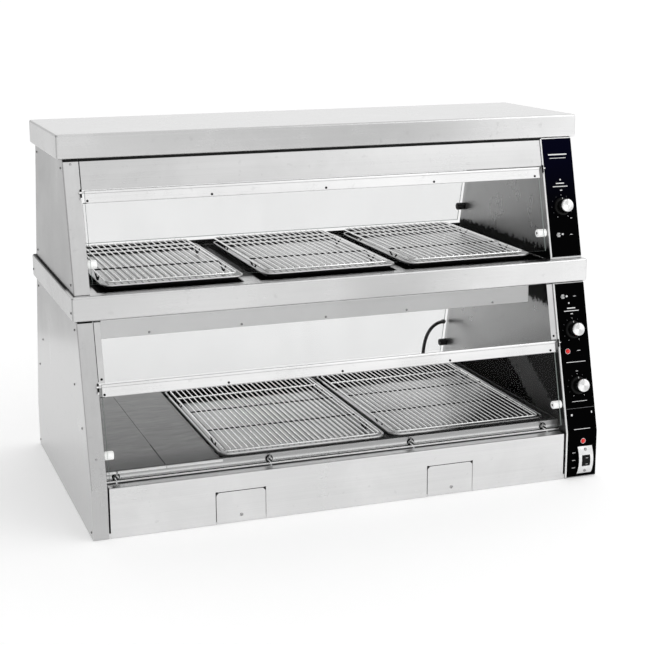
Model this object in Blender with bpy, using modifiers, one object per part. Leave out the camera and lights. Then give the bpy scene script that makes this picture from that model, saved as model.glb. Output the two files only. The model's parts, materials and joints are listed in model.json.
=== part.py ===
"""Two-tier heated and humidified food display cabinet with doors on both long sides.

Metres, +Z up.  The front, with the controls, faces -Y.  The origin is the centre of the
footprint, on the surface that the cabinet stands on.
"""

from math import atan2, cos, pi, radians, sin

import bmesh
import bpy
from mathutils import Matrix, Vector

# ---------------------------------------------------------------- driving dimensions
BODY_WIDTH = 1.240
BODY_DEPTH = 0.733
KINK_HEIGHT = 0.115            # the front stands upright up to here, then leans back
SHELF_BOTTOM = 0.468
SHELF_TOP = 0.524
ROOF_BOTTOM = 0.810
ROOF_TOP = 0.865
LOWER_DEPTH_AT_SHELF = 0.551
UPPER_DEPTH_AT_SHELF = 0.524
UPPER_DEPTH_AT_ROOF = 0.374
SHELF_WIDTH = 1.256
SHELF_DEPTH = 0.556
ROOF_WIDTH = 1.264
ROOF_DEPTH = 0.380

LEFT_POST = 0.0355             # width of the plain left posts
RIGHT_POST = 0.0845            # width of the right posts, which hold the controls
SHEET = 0.0015                 # folded steel sheet
GLASS = 0.004
FLANGE_WIDTH = 0.016           # of the liner flanges beside the fixed panes
GAP = 0.0003                   # clearance between touching pieces
SEAM = 0.001                   # visible joint between neighbouring panels

DECK_TOP = 0.1415
DECK_HALF_DEPTH = 0.325
DECK_SEAM_X = -0.445
DECK_RAIL_HEIGHT = 0.0195
DECK_LIP = 0.009               # lip folded out along the foot of the deck frame
DECK_LEDGE = 0.0140            # width of the ledge and of the rail that carry the pans
DECK_END_X = -0.3195           # right edge of the deck plates, beside the pans

HINGE_RADIUS = 0.0032
PIN_RADIUS = 0.0018
PIN_REACH = 0.00625            # of each hinge pin beyond the rail's end
UPPER_HINGE_Z = 0.7405
LOWER_HINGE_Z = 0.3315
DOOR_RAIL_HEIGHT = 0.0248
UPPER_GLASS_BOTTOM = 0.546
LOWER_GLASS_BOTTOM = 0.136
DOOR_LEFT = -0.577
DOOR_RIGHT = 0.527

BUMPER_RADIUS = 0.0095
BUMPER_LENGTH = 0.022
UPPER_BUMPER_Z = 0.589
LOWER_BUMPER_Z = 0.184

HALF_PAN = (0.330, 0.457)      # half-size sheet pan, over the rim
LARGE_PAN = (0.406, 0.559)     # two-thirds-size sheet pan, over the rim
UPPER_PAN_HEIGHT = 0.0130
LOWER_PAN_HEIGHT = 0.0254
RIM_HEIGHT = 0.0072
RIM_WIDTH = 0.0065
UPPER_PAN_X = (-0.3875, -0.0145, 0.3400)
LOWER_PAN_X = (-0.1125, 0.3045)
LOWER_PAN_Y = -0.0365
PAN_SHEET = 0.0010

UPPER_RACK = (0.302, 0.462)
UPPER_RACK_X = (-0.3930, -0.0230, 0.3320)
UPPER_RACK_TOP = 0.5475
UPPER_RACK_SLOTS = 19
UPPER_FOOT_Y = 0.130           # of the rack's feet, to each side of its middle
LOWER_RACK = (0.382, 0.532)
LOWER_RACK_X = (-0.1100, 0.3070)
LOWER_RACK_Y = -0.0310
LOWER_RACK_TOP = 0.1505
LOWER_RACK_SLOTS = 28
LOWER_FOOT_Y = 0.236
RACK_BAR = 0.0030
RACK_FRAME = 0.0050
RACK_FOOT = 0.018

KNOB_SKIRT_RADIUS = 0.022
KNOB_HEIGHT = 0.030
CONTROL_X = 0.5785
UPPER_KNOB_Z = 0.6465
LOWER_KNOB_Z = 0.3560
WATER_KNOB_Z = 0.2245
UPPER_TOGGLE = (0.5620, 0.5805)
LOWER_TOGGLE = (0.5580, 0.4350)
POWER_LAMP = (0.5580, 0.3068)
LOW_WATER_LAMP = (0.5805, 0.0930)
ROCKER = (0.5855, 0.0450)

# ---------------------------------------------------------------- worked-out positions
LEFT_OUT = -BODY_WIDTH / 2
RIGHT_OUT = BODY_WIDTH / 2
LEFT_IN = LEFT_OUT + LEFT_POST
RIGHT_IN = RIGHT_OUT - RIGHT_POST
HALF_DEPTH = BODY_DEPTH / 2
UPPER_DECK_TOP = SHELF_TOP - SHEET - GAP


class Tier:
    """A leaning face, from its bottom edge up to its top edge, on the front side."""

    def __init__(self, half_bottom, z_bottom, half_top, z_top):
        self.half_bottom = half_bottom
        self.z_bottom = z_bottom
        self.z_top = z_top
        self.run = (half_bottom - half_top) / (z_top - z_bottom)
        self.lean = atan2(half_bottom - half_top, z_top - z_bottom)

    def half_at(self, z, inset=0.0):
        """Distance from the middle plane to the face at height z, less a square inset."""
        return self.half_bottom - (z - self.z_bottom) * self.run - inset / cos(self.lean)

    def frame(self, x, z, inset=0.0):
        """Frame on the front face: local X along the cabinet, Y up the slope, Z outwards."""
        turn = Matrix.Rotation(pi / 2 - self.lean, 4, "X")
        origin = Vector((x, -self.half_at(z), z))
        return Matrix.Translation(origin) @ turn @ Matrix.Translation((0, 0, -inset))


LOWER = Tier(HALF_DEPTH, KINK_HEIGHT, LOWER_DEPTH_AT_SHELF / 2, SHELF_BOTTOM)
UPPER = Tier(UPPER_DEPTH_AT_SHELF / 2, SHELF_TOP, UPPER_DEPTH_AT_ROOF / 2, ROOF_BOTTOM)

# ---------------------------------------------------------------- scene and materials
for old in list(bpy.data.objects):
    bpy.data.objects.remove(old, do_unlink=True)

PARTS = bpy.data.collections.new("food_holding_cabinet")
CUTTERS = bpy.data.collections.new("cutters")
for collection in (PARTS, CUTTERS):
    bpy.context.scene.collection.children.link(collection)


def material(name, colour, roughness, metallic, alpha=1.0):
    """A Principled material; every sub-part has its own."""
    made = bpy.data.materials.new(name)
    made.use_nodes = True
    shader = made.node_tree.nodes["Principled BSDF"]
    shader.inputs["Base Color"].default_value = (*colour, 1.0)
    shader.inputs["Roughness"].default_value = roughness
    shader.inputs["Metallic"].default_value = metallic
    shader.inputs["Alpha"].default_value = alpha
    return made


FINISHES = {
    "steel": ((0.62, 0.62, 0.61), 0.32, 1.0),
    "liner_steel": ((0.42, 0.42, 0.42), 0.38, 1.0),
    "dark_deck": ((0.03, 0.03, 0.03), 0.35, 0.6),
    "pan_aluminium": ((0.55, 0.55, 0.54), 0.40, 1.0),
    "chrome": ((0.72, 0.72, 0.72), 0.12, 1.0),
    "glass": ((0.90, 0.95, 0.93), 0.02, 0.0),
    "black_panel": ((0.010, 0.010, 0.012), 0.30, 0.0),
    "black_plastic": ((0.015, 0.015, 0.015), 0.35, 0.0),
    "white_plastic": ((0.85, 0.85, 0.83), 0.35, 0.0),
    "red_lens": ((0.75, 0.02, 0.02), 0.15, 0.0),
    "heater_sheath": ((0.16, 0.15, 0.14), 0.50, 0.9),
}


def add_part(name, mesh, finish):
    """Link a mesh as a named sub-part with its own material."""
    colour, roughness, metallic = FINISHES[finish]
    alpha = 0.3 if finish == "glass" else 1.0
    made = bpy.data.objects.new(name, mesh)
    made.data.materials.clear()
    made.data.materials.append(material(name + "_" + finish, colour, roughness, metallic, alpha))
    PARTS.objects.link(made)
    return made


def add_cutter(name, mesh):
    """Link a mesh as a hidden tool for Boolean modifiers."""
    made = bpy.data.objects.new(name, mesh)
    made.hide_render = True
    made.display_type = "WIRE"
    CUTTERS.objects.link(made)
    return made


def to_mesh(name, bm):
    """Turn an edit mesh into a mesh with its faces pointing out."""
    bmesh.ops.recalc_face_normals(bm, faces=bm.faces)
    mesh = bpy.data.meshes.new(name)
    bm.to_mesh(mesh)
    bm.free()
    return mesh


# ---------------------------------------------------------------- modelling helpers
def box_bm(*boxes):
    """An edit mesh with one box for each pair of opposite corners."""
    bm = bmesh.new()
    for low, high in boxes:
        size = [b - a for a, b in zip(low, high)]
        middle = [(a + b) / 2 for a, b in zip(low, high)]
        place = Matrix.Translation(middle) @ Matrix.Diagonal((*size, 1.0))
        bmesh.ops.create_cube(bm, size=1.0, matrix=place)
    return bm


def box_mesh(name, *boxes):
    return to_mesh(name, box_bm(*boxes))


def prism_bm(outline, x_low, x_high):
    """A solid from an outline of (y, z) points, pulled along X."""
    bm = bmesh.new()
    face = bm.faces.new([bm.verts.new((x_low, y, z)) for y, z in outline])
    pulled = bmesh.ops.extrude_face_region(bm, geom=[face])
    moved = [v for v in pulled["geom"] if isinstance(v, bmesh.types.BMVert)]
    bmesh.ops.translate(bm, verts=moved, vec=(x_high - x_low, 0, 0))
    bmesh.ops.recalc_face_normals(bm, faces=bm.faces)
    return bm


def slab_mesh(name, outline, z_low, z_high):
    """A solid from an outline of (x, y) points, pulled along Z."""
    bm = bmesh.new()
    face = bm.faces.new([bm.verts.new((x, y, z_low)) for x, y in outline])
    pulled = bmesh.ops.extrude_face_region(bm, geom=[face])
    moved = [v for v in pulled["geom"] if isinstance(v, bmesh.types.BMVert)]
    bmesh.ops.translate(bm, verts=moved, vec=(0, 0, z_high - z_low))
    return to_mesh(name, bm)


def open_towards(bm, *directions):
    """Delete the flat faces that point along the given directions."""
    lost = [f for f in bm.faces if any(f.normal.dot(Vector(d)) > 0.999 for d in directions)]
    bmesh.ops.delete(bm, geom=lost, context="FACES")
    return bm


def surface_mesh(name, bm):
    """An open surface as a mesh, with the directions of its faces kept."""
    mesh = bpy.data.meshes.new(name)
    bm.to_mesh(mesh)
    bm.free()
    return mesh


def thicken(obj, thickness=SHEET, offset=-1.0):
    """Give an open surface its sheet thickness, on the side away from its normals."""
    shell = obj.modifiers.new("sheet", "SOLIDIFY")
    shell.thickness = thickness
    shell.offset = offset
    shell.use_even_offset = True
    return obj


def fold_radius(obj, width, segments=2):
    """Round the folds of a sheet before it is thickened."""
    bevel = obj.modifiers.new("folds", "BEVEL")
    bevel.width = width
    bevel.segments = segments
    bevel.limit_method = "ANGLE"
    bevel.angle_limit = radians(50)
    return obj


def boolean(obj, cutter, operation="DIFFERENCE"):
    """Cut a piece with a hidden tool, or join the tool's shape to it."""
    step = obj.modifiers.new(operation.lower(), "BOOLEAN")
    step.operation = operation
    step.object = cutter
    step.solver = "EXACT"
    return obj


def folded_strip(name, profile, x_low, x_high, finish):
    """A sheet folded along X: profile is a line of (y, z) points, thickened to its left."""
    bm = bmesh.new()
    rows = [[bm.verts.new((x, y, z)) for y, z in profile] for x in (x_low, x_high)]
    for i in range(len(profile) - 1):
        bm.faces.new((rows[0][i], rows[0][i + 1], rows[1][i + 1], rows[1][i]))
    return thicken(add_part(name, surface_mesh(name, bm), finish))


def mirrored(source, name):
    """The same piece on the rear side of the cabinet."""
    depsgraph = bpy.context.evaluated_depsgraph_get()
    mesh = bpy.data.meshes.new_from_object(source.evaluated_get(depsgraph))
    mesh.transform(source.matrix_world)
    mesh.transform(Matrix.Diagonal((1, -1, 1, 1)))
    mesh.flip_normals()
    copy = bpy.data.objects.new(name, mesh)
    slot_material = source.data.materials[0].copy()
    slot_material.name = name
    mesh.materials.clear()
    mesh.materials.append(slot_material)
    PARTS.objects.link(copy)
    return copy


def set_origin(obj, point):
    """Move the object's origin to a world point and leave its shape where it is."""
    bpy.context.view_layer.update()
    shift = Matrix.Translation(Vector(point)).inverted() @ obj.matrix_world
    obj.data.transform(shift)
    obj.matrix_world = Matrix.Translation(Vector(point))
    return obj


def rounded_rectangle(width, depth, radius, steps=3):
    """Points round a rectangle with arcs at its corners, anticlockwise from the right."""
    points = []
    for quarter, (sx, sy) in enumerate(((1, 1), (-1, 1), (-1, -1), (1, -1))):
        centre_x = sx * (width / 2 - radius)
        centre_y = sy * (depth / 2 - radius)
        for step in range(steps + 1):
            angle = (quarter + step / steps) * pi / 2
            points.append((centre_x + radius * cos(angle), centre_y + radius * sin(angle)))
    return points


def plate(name, points, thickness, place, finish):
    """A flat plate from an outline, its outer face on the placing frame's XY plane."""
    outline = bpy.data.curves.new(name, "CURVE")
    outline.dimensions = "2D"
    outline.fill_mode = "BOTH"
    outline.extrude = thickness / 2
    spline = outline.splines.new("POLY")
    spline.points.add(len(points) - 1)
    for point, (x, y) in zip(spline.points, points):
        point.co = (x, y, 0, 1)
    spline.use_cyclic_u = True
    made = bpy.data.objects.new(name, outline)
    colour, roughness, metallic = FINISHES[finish]
    alpha = 0.3 if finish == "glass" else 1.0
    outline.materials.append(material(name + "_" + finish, colour, roughness, metallic, alpha))
    PARTS.objects.link(made)
    made.matrix_world = place @ Matrix.Translation((0, 0, -thickness / 2))
    return made


def curve_to_mesh(obj):
    """Replace a curve object by a welded mesh object with the same name and material."""
    bpy.context.view_layer.update()
    depsgraph = bpy.context.evaluated_depsgraph_get()
    mesh = bpy.data.meshes.new_from_object(obj.evaluated_get(depsgraph))
    bm = bmesh.new()
    bm.from_mesh(mesh)
    bmesh.ops.remove_doubles(bm, verts=bm.verts, dist=0.00001)
    bm.to_mesh(mesh)
    bm.free()
    name = obj.name
    matrix = obj.matrix_world.copy()
    finish = obj.data.materials[0]
    bpy.data.objects.remove(obj, do_unlink=True)
    made = bpy.data.objects.new(name, mesh)
    mesh.materials.clear()
    mesh.materials.append(finish)
    PARTS.objects.link(made)
    made.matrix_world = matrix
    return made


def tube(name, points, radius, finish):
    """A round rod that follows a line of points."""
    path = bpy.data.curves.new(name, "CURVE")
    path.dimensions = "3D"
    path.bevel_depth = radius
    path.bevel_resolution = 2
    path.use_fill_caps = True
    spline = path.splines.new("POLY")
    spline.points.add(len(points) - 1)
    for point, place in zip(spline.points, points):
        point.co = (*place, 1)
    colour, roughness, metallic = FINISHES[finish]
    path.materials.append(material(name + "_" + finish, colour, roughness, metallic))
    made = bpy.data.objects.new(name, path)
    PARTS.objects.link(made)
    return made


def turned(name, profile, place, finish, steps=24):
    """A solid turned round the local Z axis from (radius, height) points, top to bottom."""
    bm = bmesh.new()
    ring = [bm.verts.new((radius, 0, height)) for radius, height in profile]
    for a, b in zip(ring, ring[1:]):
        bm.edges.new((a, b))
    made = add_part(name, surface_mesh(name, bm), finish)
    made.matrix_world = place
    screw = made.modifiers.new("turn", "SCREW")
    screw.axis = "Z"
    screw.steps = steps
    screw.render_steps = steps
    screw.use_merge_vertices = True
    screw.merge_threshold = 0.00001
    screw.use_smooth_shade = True
    return made


# ---------------------------------------------------------------- side panels and posts
def side_skin(name, outline, x_outer, x_inner):
    """Outer side panel folded round the front and rear posts, open inwards, up and down."""
    bm = prism_bm(outline, min(x_outer, x_inner), max(x_outer, x_inner))
    inwards = (1, 0, 0) if x_inner > x_outer else (-1, 0, 0)
    open_towards(bm, inwards, (0, 0, 1), (0, 0, -1))
    skin = add_part(name, surface_mesh(name, bm), "steel")
    fold_radius(skin, 0.0022)
    return thicken(skin)


def lower_outline():
    top = SHELF_BOTTOM - GAP
    half_top = LOWER.half_at(top)
    front = [(-HALF_DEPTH, 0.0), (-HALF_DEPTH, KINK_HEIGHT), (-half_top, top)]
    return front + [(-y, z) for y, z in reversed(front)]


def upper_outline():
    bottom = SHELF_TOP + GAP + SHEET * sin(UPPER.lean)
    top = ROOF_BOTTOM - GAP
    front = [(-UPPER.half_at(bottom), bottom), (-UPPER.half_at(top), top)]
    return front + [(-y, z) for y, z in reversed(front)]


def liner(name, tier, x_face, inwards, z_low, z_high, flange_bottom=None):
    """Inner wall of a display space; the lower ones carry flanges that hold a fixed pane."""
    inset = SHEET + GAP
    front = [(-tier.half_at(z, inset), z) for z in (z_low, z_high)]
    outline = front + [(-y, z) for y, z in reversed(front)]
    solid = prism_bm(outline, x_face - inwards * SHEET, x_face)
    wall = add_part(name, to_mesh(name, solid), "liner_steel")
    if flange_bottom is None:
        return wall
    length = (z_high - flange_bottom) / cos(tier.lean) - SEAM
    for side in ("front", "rear"):
        x_low, x_high = sorted((x_face - inwards * SHEET / 2, x_face + inwards * FLANGE_WIDTH))
        mesh = box_mesh(name, ((x_low, 0, -SHEET), (x_high, length, 0)))
        mesh.transform(tier.frame(0, flange_bottom, inset))
        if side == "rear":
            mesh.transform(Matrix.Diagonal((1, -1, 1, 1)))
            mesh.flip_normals()
        boolean(wall, add_cutter("%s_%s_flange" % (name, side), mesh), "UNION")
    return wall


def build_sides():
    side_skin("lower_left_skin", lower_outline(), LEFT_OUT, LEFT_IN)
    side_skin("lower_right_skin", lower_outline(), RIGHT_OUT, RIGHT_IN)
    side_skin("upper_left_skin", upper_outline(), LEFT_OUT, LEFT_IN)
    side_skin("upper_right_skin", upper_outline(), RIGHT_OUT, RIGHT_IN)
    low = KINK_HEIGHT + SEAM
    high = SHELF_BOTTOM - GAP
    flange = LOWER_HINGE_Z + 0.0055
    liner("lower_left_liner", LOWER, LEFT_IN, 1, low, high, flange)
    liner("lower_right_liner", LOWER, RIGHT_IN, -1, low, high, flange)
    low = SHELF_TOP + GAP
    high = ROOF_BOTTOM - GAP
    liner("upper_left_liner", UPPER, LEFT_IN, 1, low, high)
    liner("upper_right_liner", UPPER, RIGHT_IN, -1, low, high)


# ---------------------------------------------------------------- base
FLAP_WIDTH = 0.1150
FLAP_TOP = 0.0745
FLAP_BOTTOM = 0.0030
FLAP_CORNER = 0.0060
FLAP_X = (-0.284, 0.229)
APRON_LEFT = LEFT_IN + 0.0040
APRON_RIGHT = RIGHT_IN - 0.0055
LEDGE_BACK = 0.339             # where the apron's ledge ends, from the middle plane
BASE_INSET = 0.002
BASE_HEIGHT = 0.012


def apron_mesh(name):
    """Front plate of the base with a ledge folded back along its top."""
    bm = box_bm(((APRON_LEFT, -HALF_DEPTH, GAP), (APRON_RIGHT, -LEDGE_BACK, KINK_HEIGHT)))
    open_towards(bm, (0, 1, 0), (1, 0, 0), (-1, 0, 0), (0, 0, -1))
    return surface_mesh(name, bm)


def build_base():
    """Bottom tray, the plates that close the front and rear, and the two access flaps."""
    half_x = RIGHT_OUT - BASE_INSET
    half_y = HALF_DEPTH - BASE_INSET
    bm = box_bm(((-half_x, -half_y, 0), (half_x, half_y, BASE_HEIGHT)))
    open_towards(bm, (0, 0, 1))
    thicken(add_part("base_pan", surface_mesh("base_pan", bm), "steel"))

    apron = fold_radius(add_part("front_apron", apron_mesh("front_apron"), "steel"), 0.002)
    thicken(apron)
    rear = mirrored(apron, "rear_apron")
    rear.data.shade_flat()
    half = FLAP_WIDTH / 2 + SEAM
    for index, x in enumerate(FLAP_X):
        low = (x - half, -HALF_DEPTH - 0.01, -0.01)
        high = (x + half, -HALF_DEPTH + 0.01, FLAP_TOP + SEAM)
        name = "flap_opening_%d" % (index + 1)
        boolean(apron, add_cutter(name, box_mesh(name, (low, high))))

    half = FLAP_WIDTH / 2
    height = FLAP_TOP - FLAP_BOTTOM
    outline = [(-half, -height), (half, -height), (half, -FLAP_CORNER), (half - FLAP_CORNER, 0),
               (FLAP_CORNER - half, 0), (-half, -FLAP_CORNER)]
    for side, x in zip(("left", "right"), FLAP_X):
        hinge = (x, -HALF_DEPTH, FLAP_TOP)
        place = Matrix.Translation(hinge) @ Matrix.Rotation(pi / 2, 4, "X")
        flap = plate(side + "_access_flap", outline, SHEET, place, "steel")
        set_origin(curve_to_mesh(flap), hinge)


def build_deck():
    """Two deck plates at the left of the pans, on a folded frame that also carries the pans."""
    left = LEFT_IN + SEAM
    right = RIGHT_IN - SEAM
    plate_bottom = DECK_TOP - SHEET
    half = DECK_HALF_DEPTH
    box = ((left, -half, plate_bottom), (DECK_SEAM_X - SEAM / 2, half, DECK_TOP))
    add_part("deck_left_plate", box_mesh("deck_left_plate", box), "liner_steel")
    box = ((DECK_SEAM_X + SEAM / 2, -half, plate_bottom), (DECK_END_X, half, DECK_TOP))
    add_part("deck_right_plate", box_mesh("deck_right_plate", box), "liner_steel")

    top = plate_bottom - GAP
    bottom = top - DECK_RAIL_HEIGHT
    bm = box_bm(((left, -half, bottom), (right, half, top)))
    open_towards(bm, (0, 0, 1), (0, 0, -1))
    for edge in [e for e in bm.edges if e.is_boundary]:
        a, b = (v.co for v in edge.verts)
        runs_along_x = abs(a.x - b.x) > abs(a.y - b.y)
        if a.z + b.z < top + bottom and runs_along_x:
            lip = bmesh.ops.extrude_edge_only(bm, edges=[edge])
            moved = [v for v in lip["geom"] if isinstance(v, bmesh.types.BMVert)]
            outwards = DECK_LIP if a.y > 0 else -DECK_LIP
            bmesh.ops.translate(bm, verts=moved, vec=(0, outwards, 0))
    bmesh.ops.recalc_face_normals(bm, faces=bm.faces)
    frame = thicken(add_part("deck_frame", surface_mesh("deck_frame", bm), "steel"))

    bearer_left = left + SHEET / 2
    bearer_right = right - SHEET / 2
    bearer_top = top - GAP
    rail_y = LOWER_PAN_Y + LARGE_PAN[1] / 2 - RIM_WIDTH + GAP
    ledge_low = (bearer_left, -half + SHEET / 2, bearer_top - SHEET)
    ledge_high = (bearer_right, -half + DECK_LEDGE, bearer_top)
    rail_low = (bearer_left, rail_y, bottom + SHEET)
    rail_high = (bearer_right, rail_y + DECK_LEDGE, bearer_top)
    bearers = box_mesh("pan_bearers", (ledge_low, ledge_high), (rail_low, rail_high))
    boolean(frame, add_cutter("pan_bearers", bearers), "UNION")


def serpentine(x_low, x_high, legs, z, turn_steps=5):
    """Points of a flat zigzag rod: long legs along X joined by half turns."""
    points = []
    for index, y in enumerate(legs):
        forward = index % 2 == 0
        start, end = (x_low, x_high) if forward else (x_high, x_low)
        points.append((start, y, z))
        points.append((end, y, z))
        if index + 1 < len(legs):
            radius = (legs[index + 1] - y) / 2
            side = 1 if forward else -1
            for step in range(1, turn_steps):
                angle = -pi / 2 + pi * step / turn_steps
                bend_x = end + side * radius * cos(angle)
                points.append((bend_x, y + radius + radius * sin(angle), z))
    return points


def build_water():
    """Open pan under the deck and the immersed rod that makes the air humid."""
    bm = box_bm(((LEFT_IN + 0.040, -0.300, SHEET + GAP), (RIGHT_IN - 0.035, 0.300, 0.098)))
    open_towards(bm, (0, 0, 1))
    thicken(add_part("water_pan", surface_mesh("water_pan", bm), "liner_steel"))
    legs = (-0.12, -0.04, 0.04, 0.12)
    tube("water_heater", serpentine(-0.42, 0.40, legs, 0.030), 0.0055, "heater_sheath")


# ---------------------------------------------------------------- shelf, roof, radiant heat
SHELF_OPENING = 0.247          # half the depth of the openings in the middle cap
OPENING_LEFT = 0.178           # reach of an opening to the left of its pan's middle
OPENING_RIGHT = 0.155
RADIANT_BOTTOM = 0.4215
RADIANT_HALF_DEPTH = 0.250
RADIANT_RIGHT = 0.484
HEATER_RADIUS = 0.004


def cap(name, width, depth, z_low, z_high, lip):
    """A folded box lid with a return lip round its underside."""
    bm = box_bm(((-width / 2, -depth / 2, z_low), (width / 2, depth / 2, z_high)))
    bottom = [f for f in bm.faces if f.normal.z < -0.9]
    bmesh.ops.inset_individual(bm, faces=bottom, thickness=lip)
    bmesh.ops.delete(bm, geom=bottom, context="FACES")
    made = add_part(name, surface_mesh(name, bm), "steel")
    fold_radius(made, 0.005, segments=3)
    return thicken(made)


def build_shelf():
    """Middle cap, the dark plate under its three openings, and the radiant box below."""
    shelf = cap("middle_cap", SHELF_WIDTH, SHELF_DEPTH, SHELF_BOTTOM, SHELF_TOP, 0.028)
    right_ends = [x + OPENING_RIGHT for x in UPPER_PAN_X[:-1]] + [RIGHT_IN - 0.005]
    openings = []
    for x, right in zip(UPPER_PAN_X, right_ends):
        low = (x - OPENING_LEFT, -SHELF_OPENING, UPPER_DECK_TOP - 0.01)
        openings.append((low, (right, SHELF_OPENING, SHELF_TOP + 0.01)))
    boolean(shelf, add_cutter("shelf_openings", box_mesh("shelf_openings", *openings)))

    half = SHELF_OPENING + 0.010
    low = (LEFT_IN - 0.008, -half, UPPER_DECK_TOP - SHEET)
    high = (RIGHT_IN + 0.008, half, UPPER_DECK_TOP)
    add_part("upper_deck", box_mesh("upper_deck", (low, high)), "dark_deck")

    half = RADIANT_HALF_DEPTH
    bm = box_bm(((LEFT_IN + 0.002, -half, RADIANT_BOTTOM), (RADIANT_RIGHT, half, SHELF_BOTTOM - GAP)))
    open_towards(bm, (0, 0, 1))
    housing = surface_mesh("lower_radiant_housing", bm)
    thicken(add_part("lower_radiant_housing", housing, "steel"))
    legs = (-0.165, -0.055, 0.055, 0.165)
    z = RADIANT_BOTTOM - 0.0095
    tube("lower_heater", serpentine(-0.49, 0.40, legs, z), HEATER_RADIUS, "heater_sheath")


def build_roof():
    """Top cap, the hood that closes the space above the doors, and its heater."""
    cap("top_cap", ROOF_WIDTH, ROOF_DEPTH, ROOF_BOTTOM, ROOF_TOP, 0.020)
    low = UPPER_HINGE_Z + HINGE_RADIUS + 0.0008
    high = ROOF_BOTTOM - GAP
    profile = [(-UPPER.half_at(high), high), (-UPPER.half_at(low), low)]
    profile += [(-y, z) for y, z in reversed(profile)]
    folded_strip("upper_header", profile, LEFT_IN + SEAM, RIGHT_IN - SEAM, "steel")
    legs = (-0.075, -0.025, 0.025, 0.075)
    z = low - 0.0105
    tube("upper_heater", serpentine(-0.50, 0.45, legs, z), HEATER_RADIUS, "heater_sheath")


# ---------------------------------------------------------------- doors and glass
def door_rail(name, tier, hinge_z):
    """Steel strip along the door's top with a rolled bead that turns on two end pins."""
    place = tier.frame(0, hinge_z, HINGE_RADIUS)
    axis = place.translation
    low = (DOOR_LEFT, -DOOR_RAIL_HEIGHT, HINGE_RADIUS - SHEET)
    rail = add_part(name, box_mesh(name, (low, (DOOR_RIGHT, 0, HINGE_RADIUS))), "steel")
    rail.matrix_world = place
    across = Matrix.Rotation(pi / 2, 4, "Y")
    middle = (DOOR_LEFT + DOOR_RIGHT) / 2
    length = DOOR_RIGHT - DOOR_LEFT
    rods = (("bead", HINGE_RADIUS, 0.0, 16), ("pin", PIN_RADIUS, 2 * PIN_REACH, 12))
    for part, radius, extra, sides in rods:
        bm = bmesh.new()
        bmesh.ops.create_cone(bm, cap_ends=True, segments=sides, radius1=radius, radius2=radius,
                              depth=length + extra, matrix=Matrix.Translation((middle, 0, 0)) @ across)
        tool = add_cutter(name + "_" + part, to_mesh(name + "_" + part, bm))
        tool.matrix_world = place
        boolean(rail, tool, "UNION")
    return rail, axis


def pane(name, tier, x_low, x_high, z_low, z_high, inset):
    """A flat glass pane on the leaning face, its outer surface at the given inset."""
    slope = cos(tier.lean)
    place = tier.frame(0, z_low, inset)
    height = (z_high - z_low) / slope
    outline = [(x_low, 0), (x_high, 0), (x_high, height), (x_low, height)]
    return plate(name, outline, GLASS, place, "glass")


def bake(obj):
    """Apply an object's modifiers and keep its place."""
    bpy.context.view_layer.update()
    depsgraph = bpy.context.evaluated_depsgraph_get()
    mesh = bpy.data.meshes.new_from_object(obj.evaluated_get(depsgraph))
    obj.modifiers.clear()
    obj.data = mesh
    return obj


def build_doors():
    """Four doors, each a pane that hangs from a steel rail, and the fixed panes over two."""
    inset = SHEET + GAP
    lower = (LOWER, "lower", LOWER_HINGE_Z, LOWER_GLASS_BOTTOM)
    upper = (UPPER, "upper", UPPER_HINGE_Z, UPPER_GLASS_BOTTOM)
    for tier, name, hinge_z, glass_bottom in (lower, upper):
        rail, axis = door_rail(name + "_front_door_rail", tier, hinge_z)
        glass_top = hinge_z - HINGE_RADIUS - SEAM
        right = DOOR_RIGHT - SEAM
        glass = pane(name + "_front_door_glass", tier, DOOR_LEFT, right, glass_bottom, glass_top, inset)
        glass = curve_to_mesh(glass)
        rail = bake(rail)
        rear_axis = (0, -axis.y, axis.z)
        set_origin(mirrored(rail, name + "_rear_door_rail"), rear_axis)
        set_origin(mirrored(glass, name + "_rear_door_glass"), rear_axis)
        set_origin(rail, axis)
        set_origin(glass, axis)
    low = LOWER_HINGE_Z + 2 * HINGE_RADIUS
    high = SHELF_BOTTOM - SEAM
    inset = 2 * (SHEET + GAP) + 0.0002
    left = LEFT_IN + 2 * SEAM
    right = RIGHT_IN - 2 * SEAM
    fixed = curve_to_mesh(pane("lower_front_fixed_glass", LOWER, left, right, low, high, inset))
    mirrored(fixed, "lower_rear_fixed_glass")


def build_bumpers():
    """Plastic stops on the inner walls that the closed doors lean on."""
    inset = SHEET + 2 * GAP + GLASS + BUMPER_RADIUS
    hole = 0.0030
    edge = 0.0012
    end = BUMPER_LENGTH
    profile = [(0, end - 0.006), (hole, end - 0.006), (hole, end), (BUMPER_RADIUS - edge, end),
               (BUMPER_RADIUS, end - edge), (BUMPER_RADIUS, 0), (0, 0)]
    for tier, name, z in ((LOWER, "lower", LOWER_BUMPER_Z), (UPPER, "upper", UPPER_BUMPER_Z)):
        for side, x_wall, inwards in (("left", LEFT_IN + GAP, 1), ("right", RIGHT_IN - GAP, -1)):
            centre = tier.frame(x_wall, z, inset).translation
            place = Matrix.Translation(centre) @ Matrix.Rotation(inwards * pi / 2, 4, "Y")
            turned("%s_%s_bumper" % (name, side), profile, place, "white_plastic", steps=20)


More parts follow.
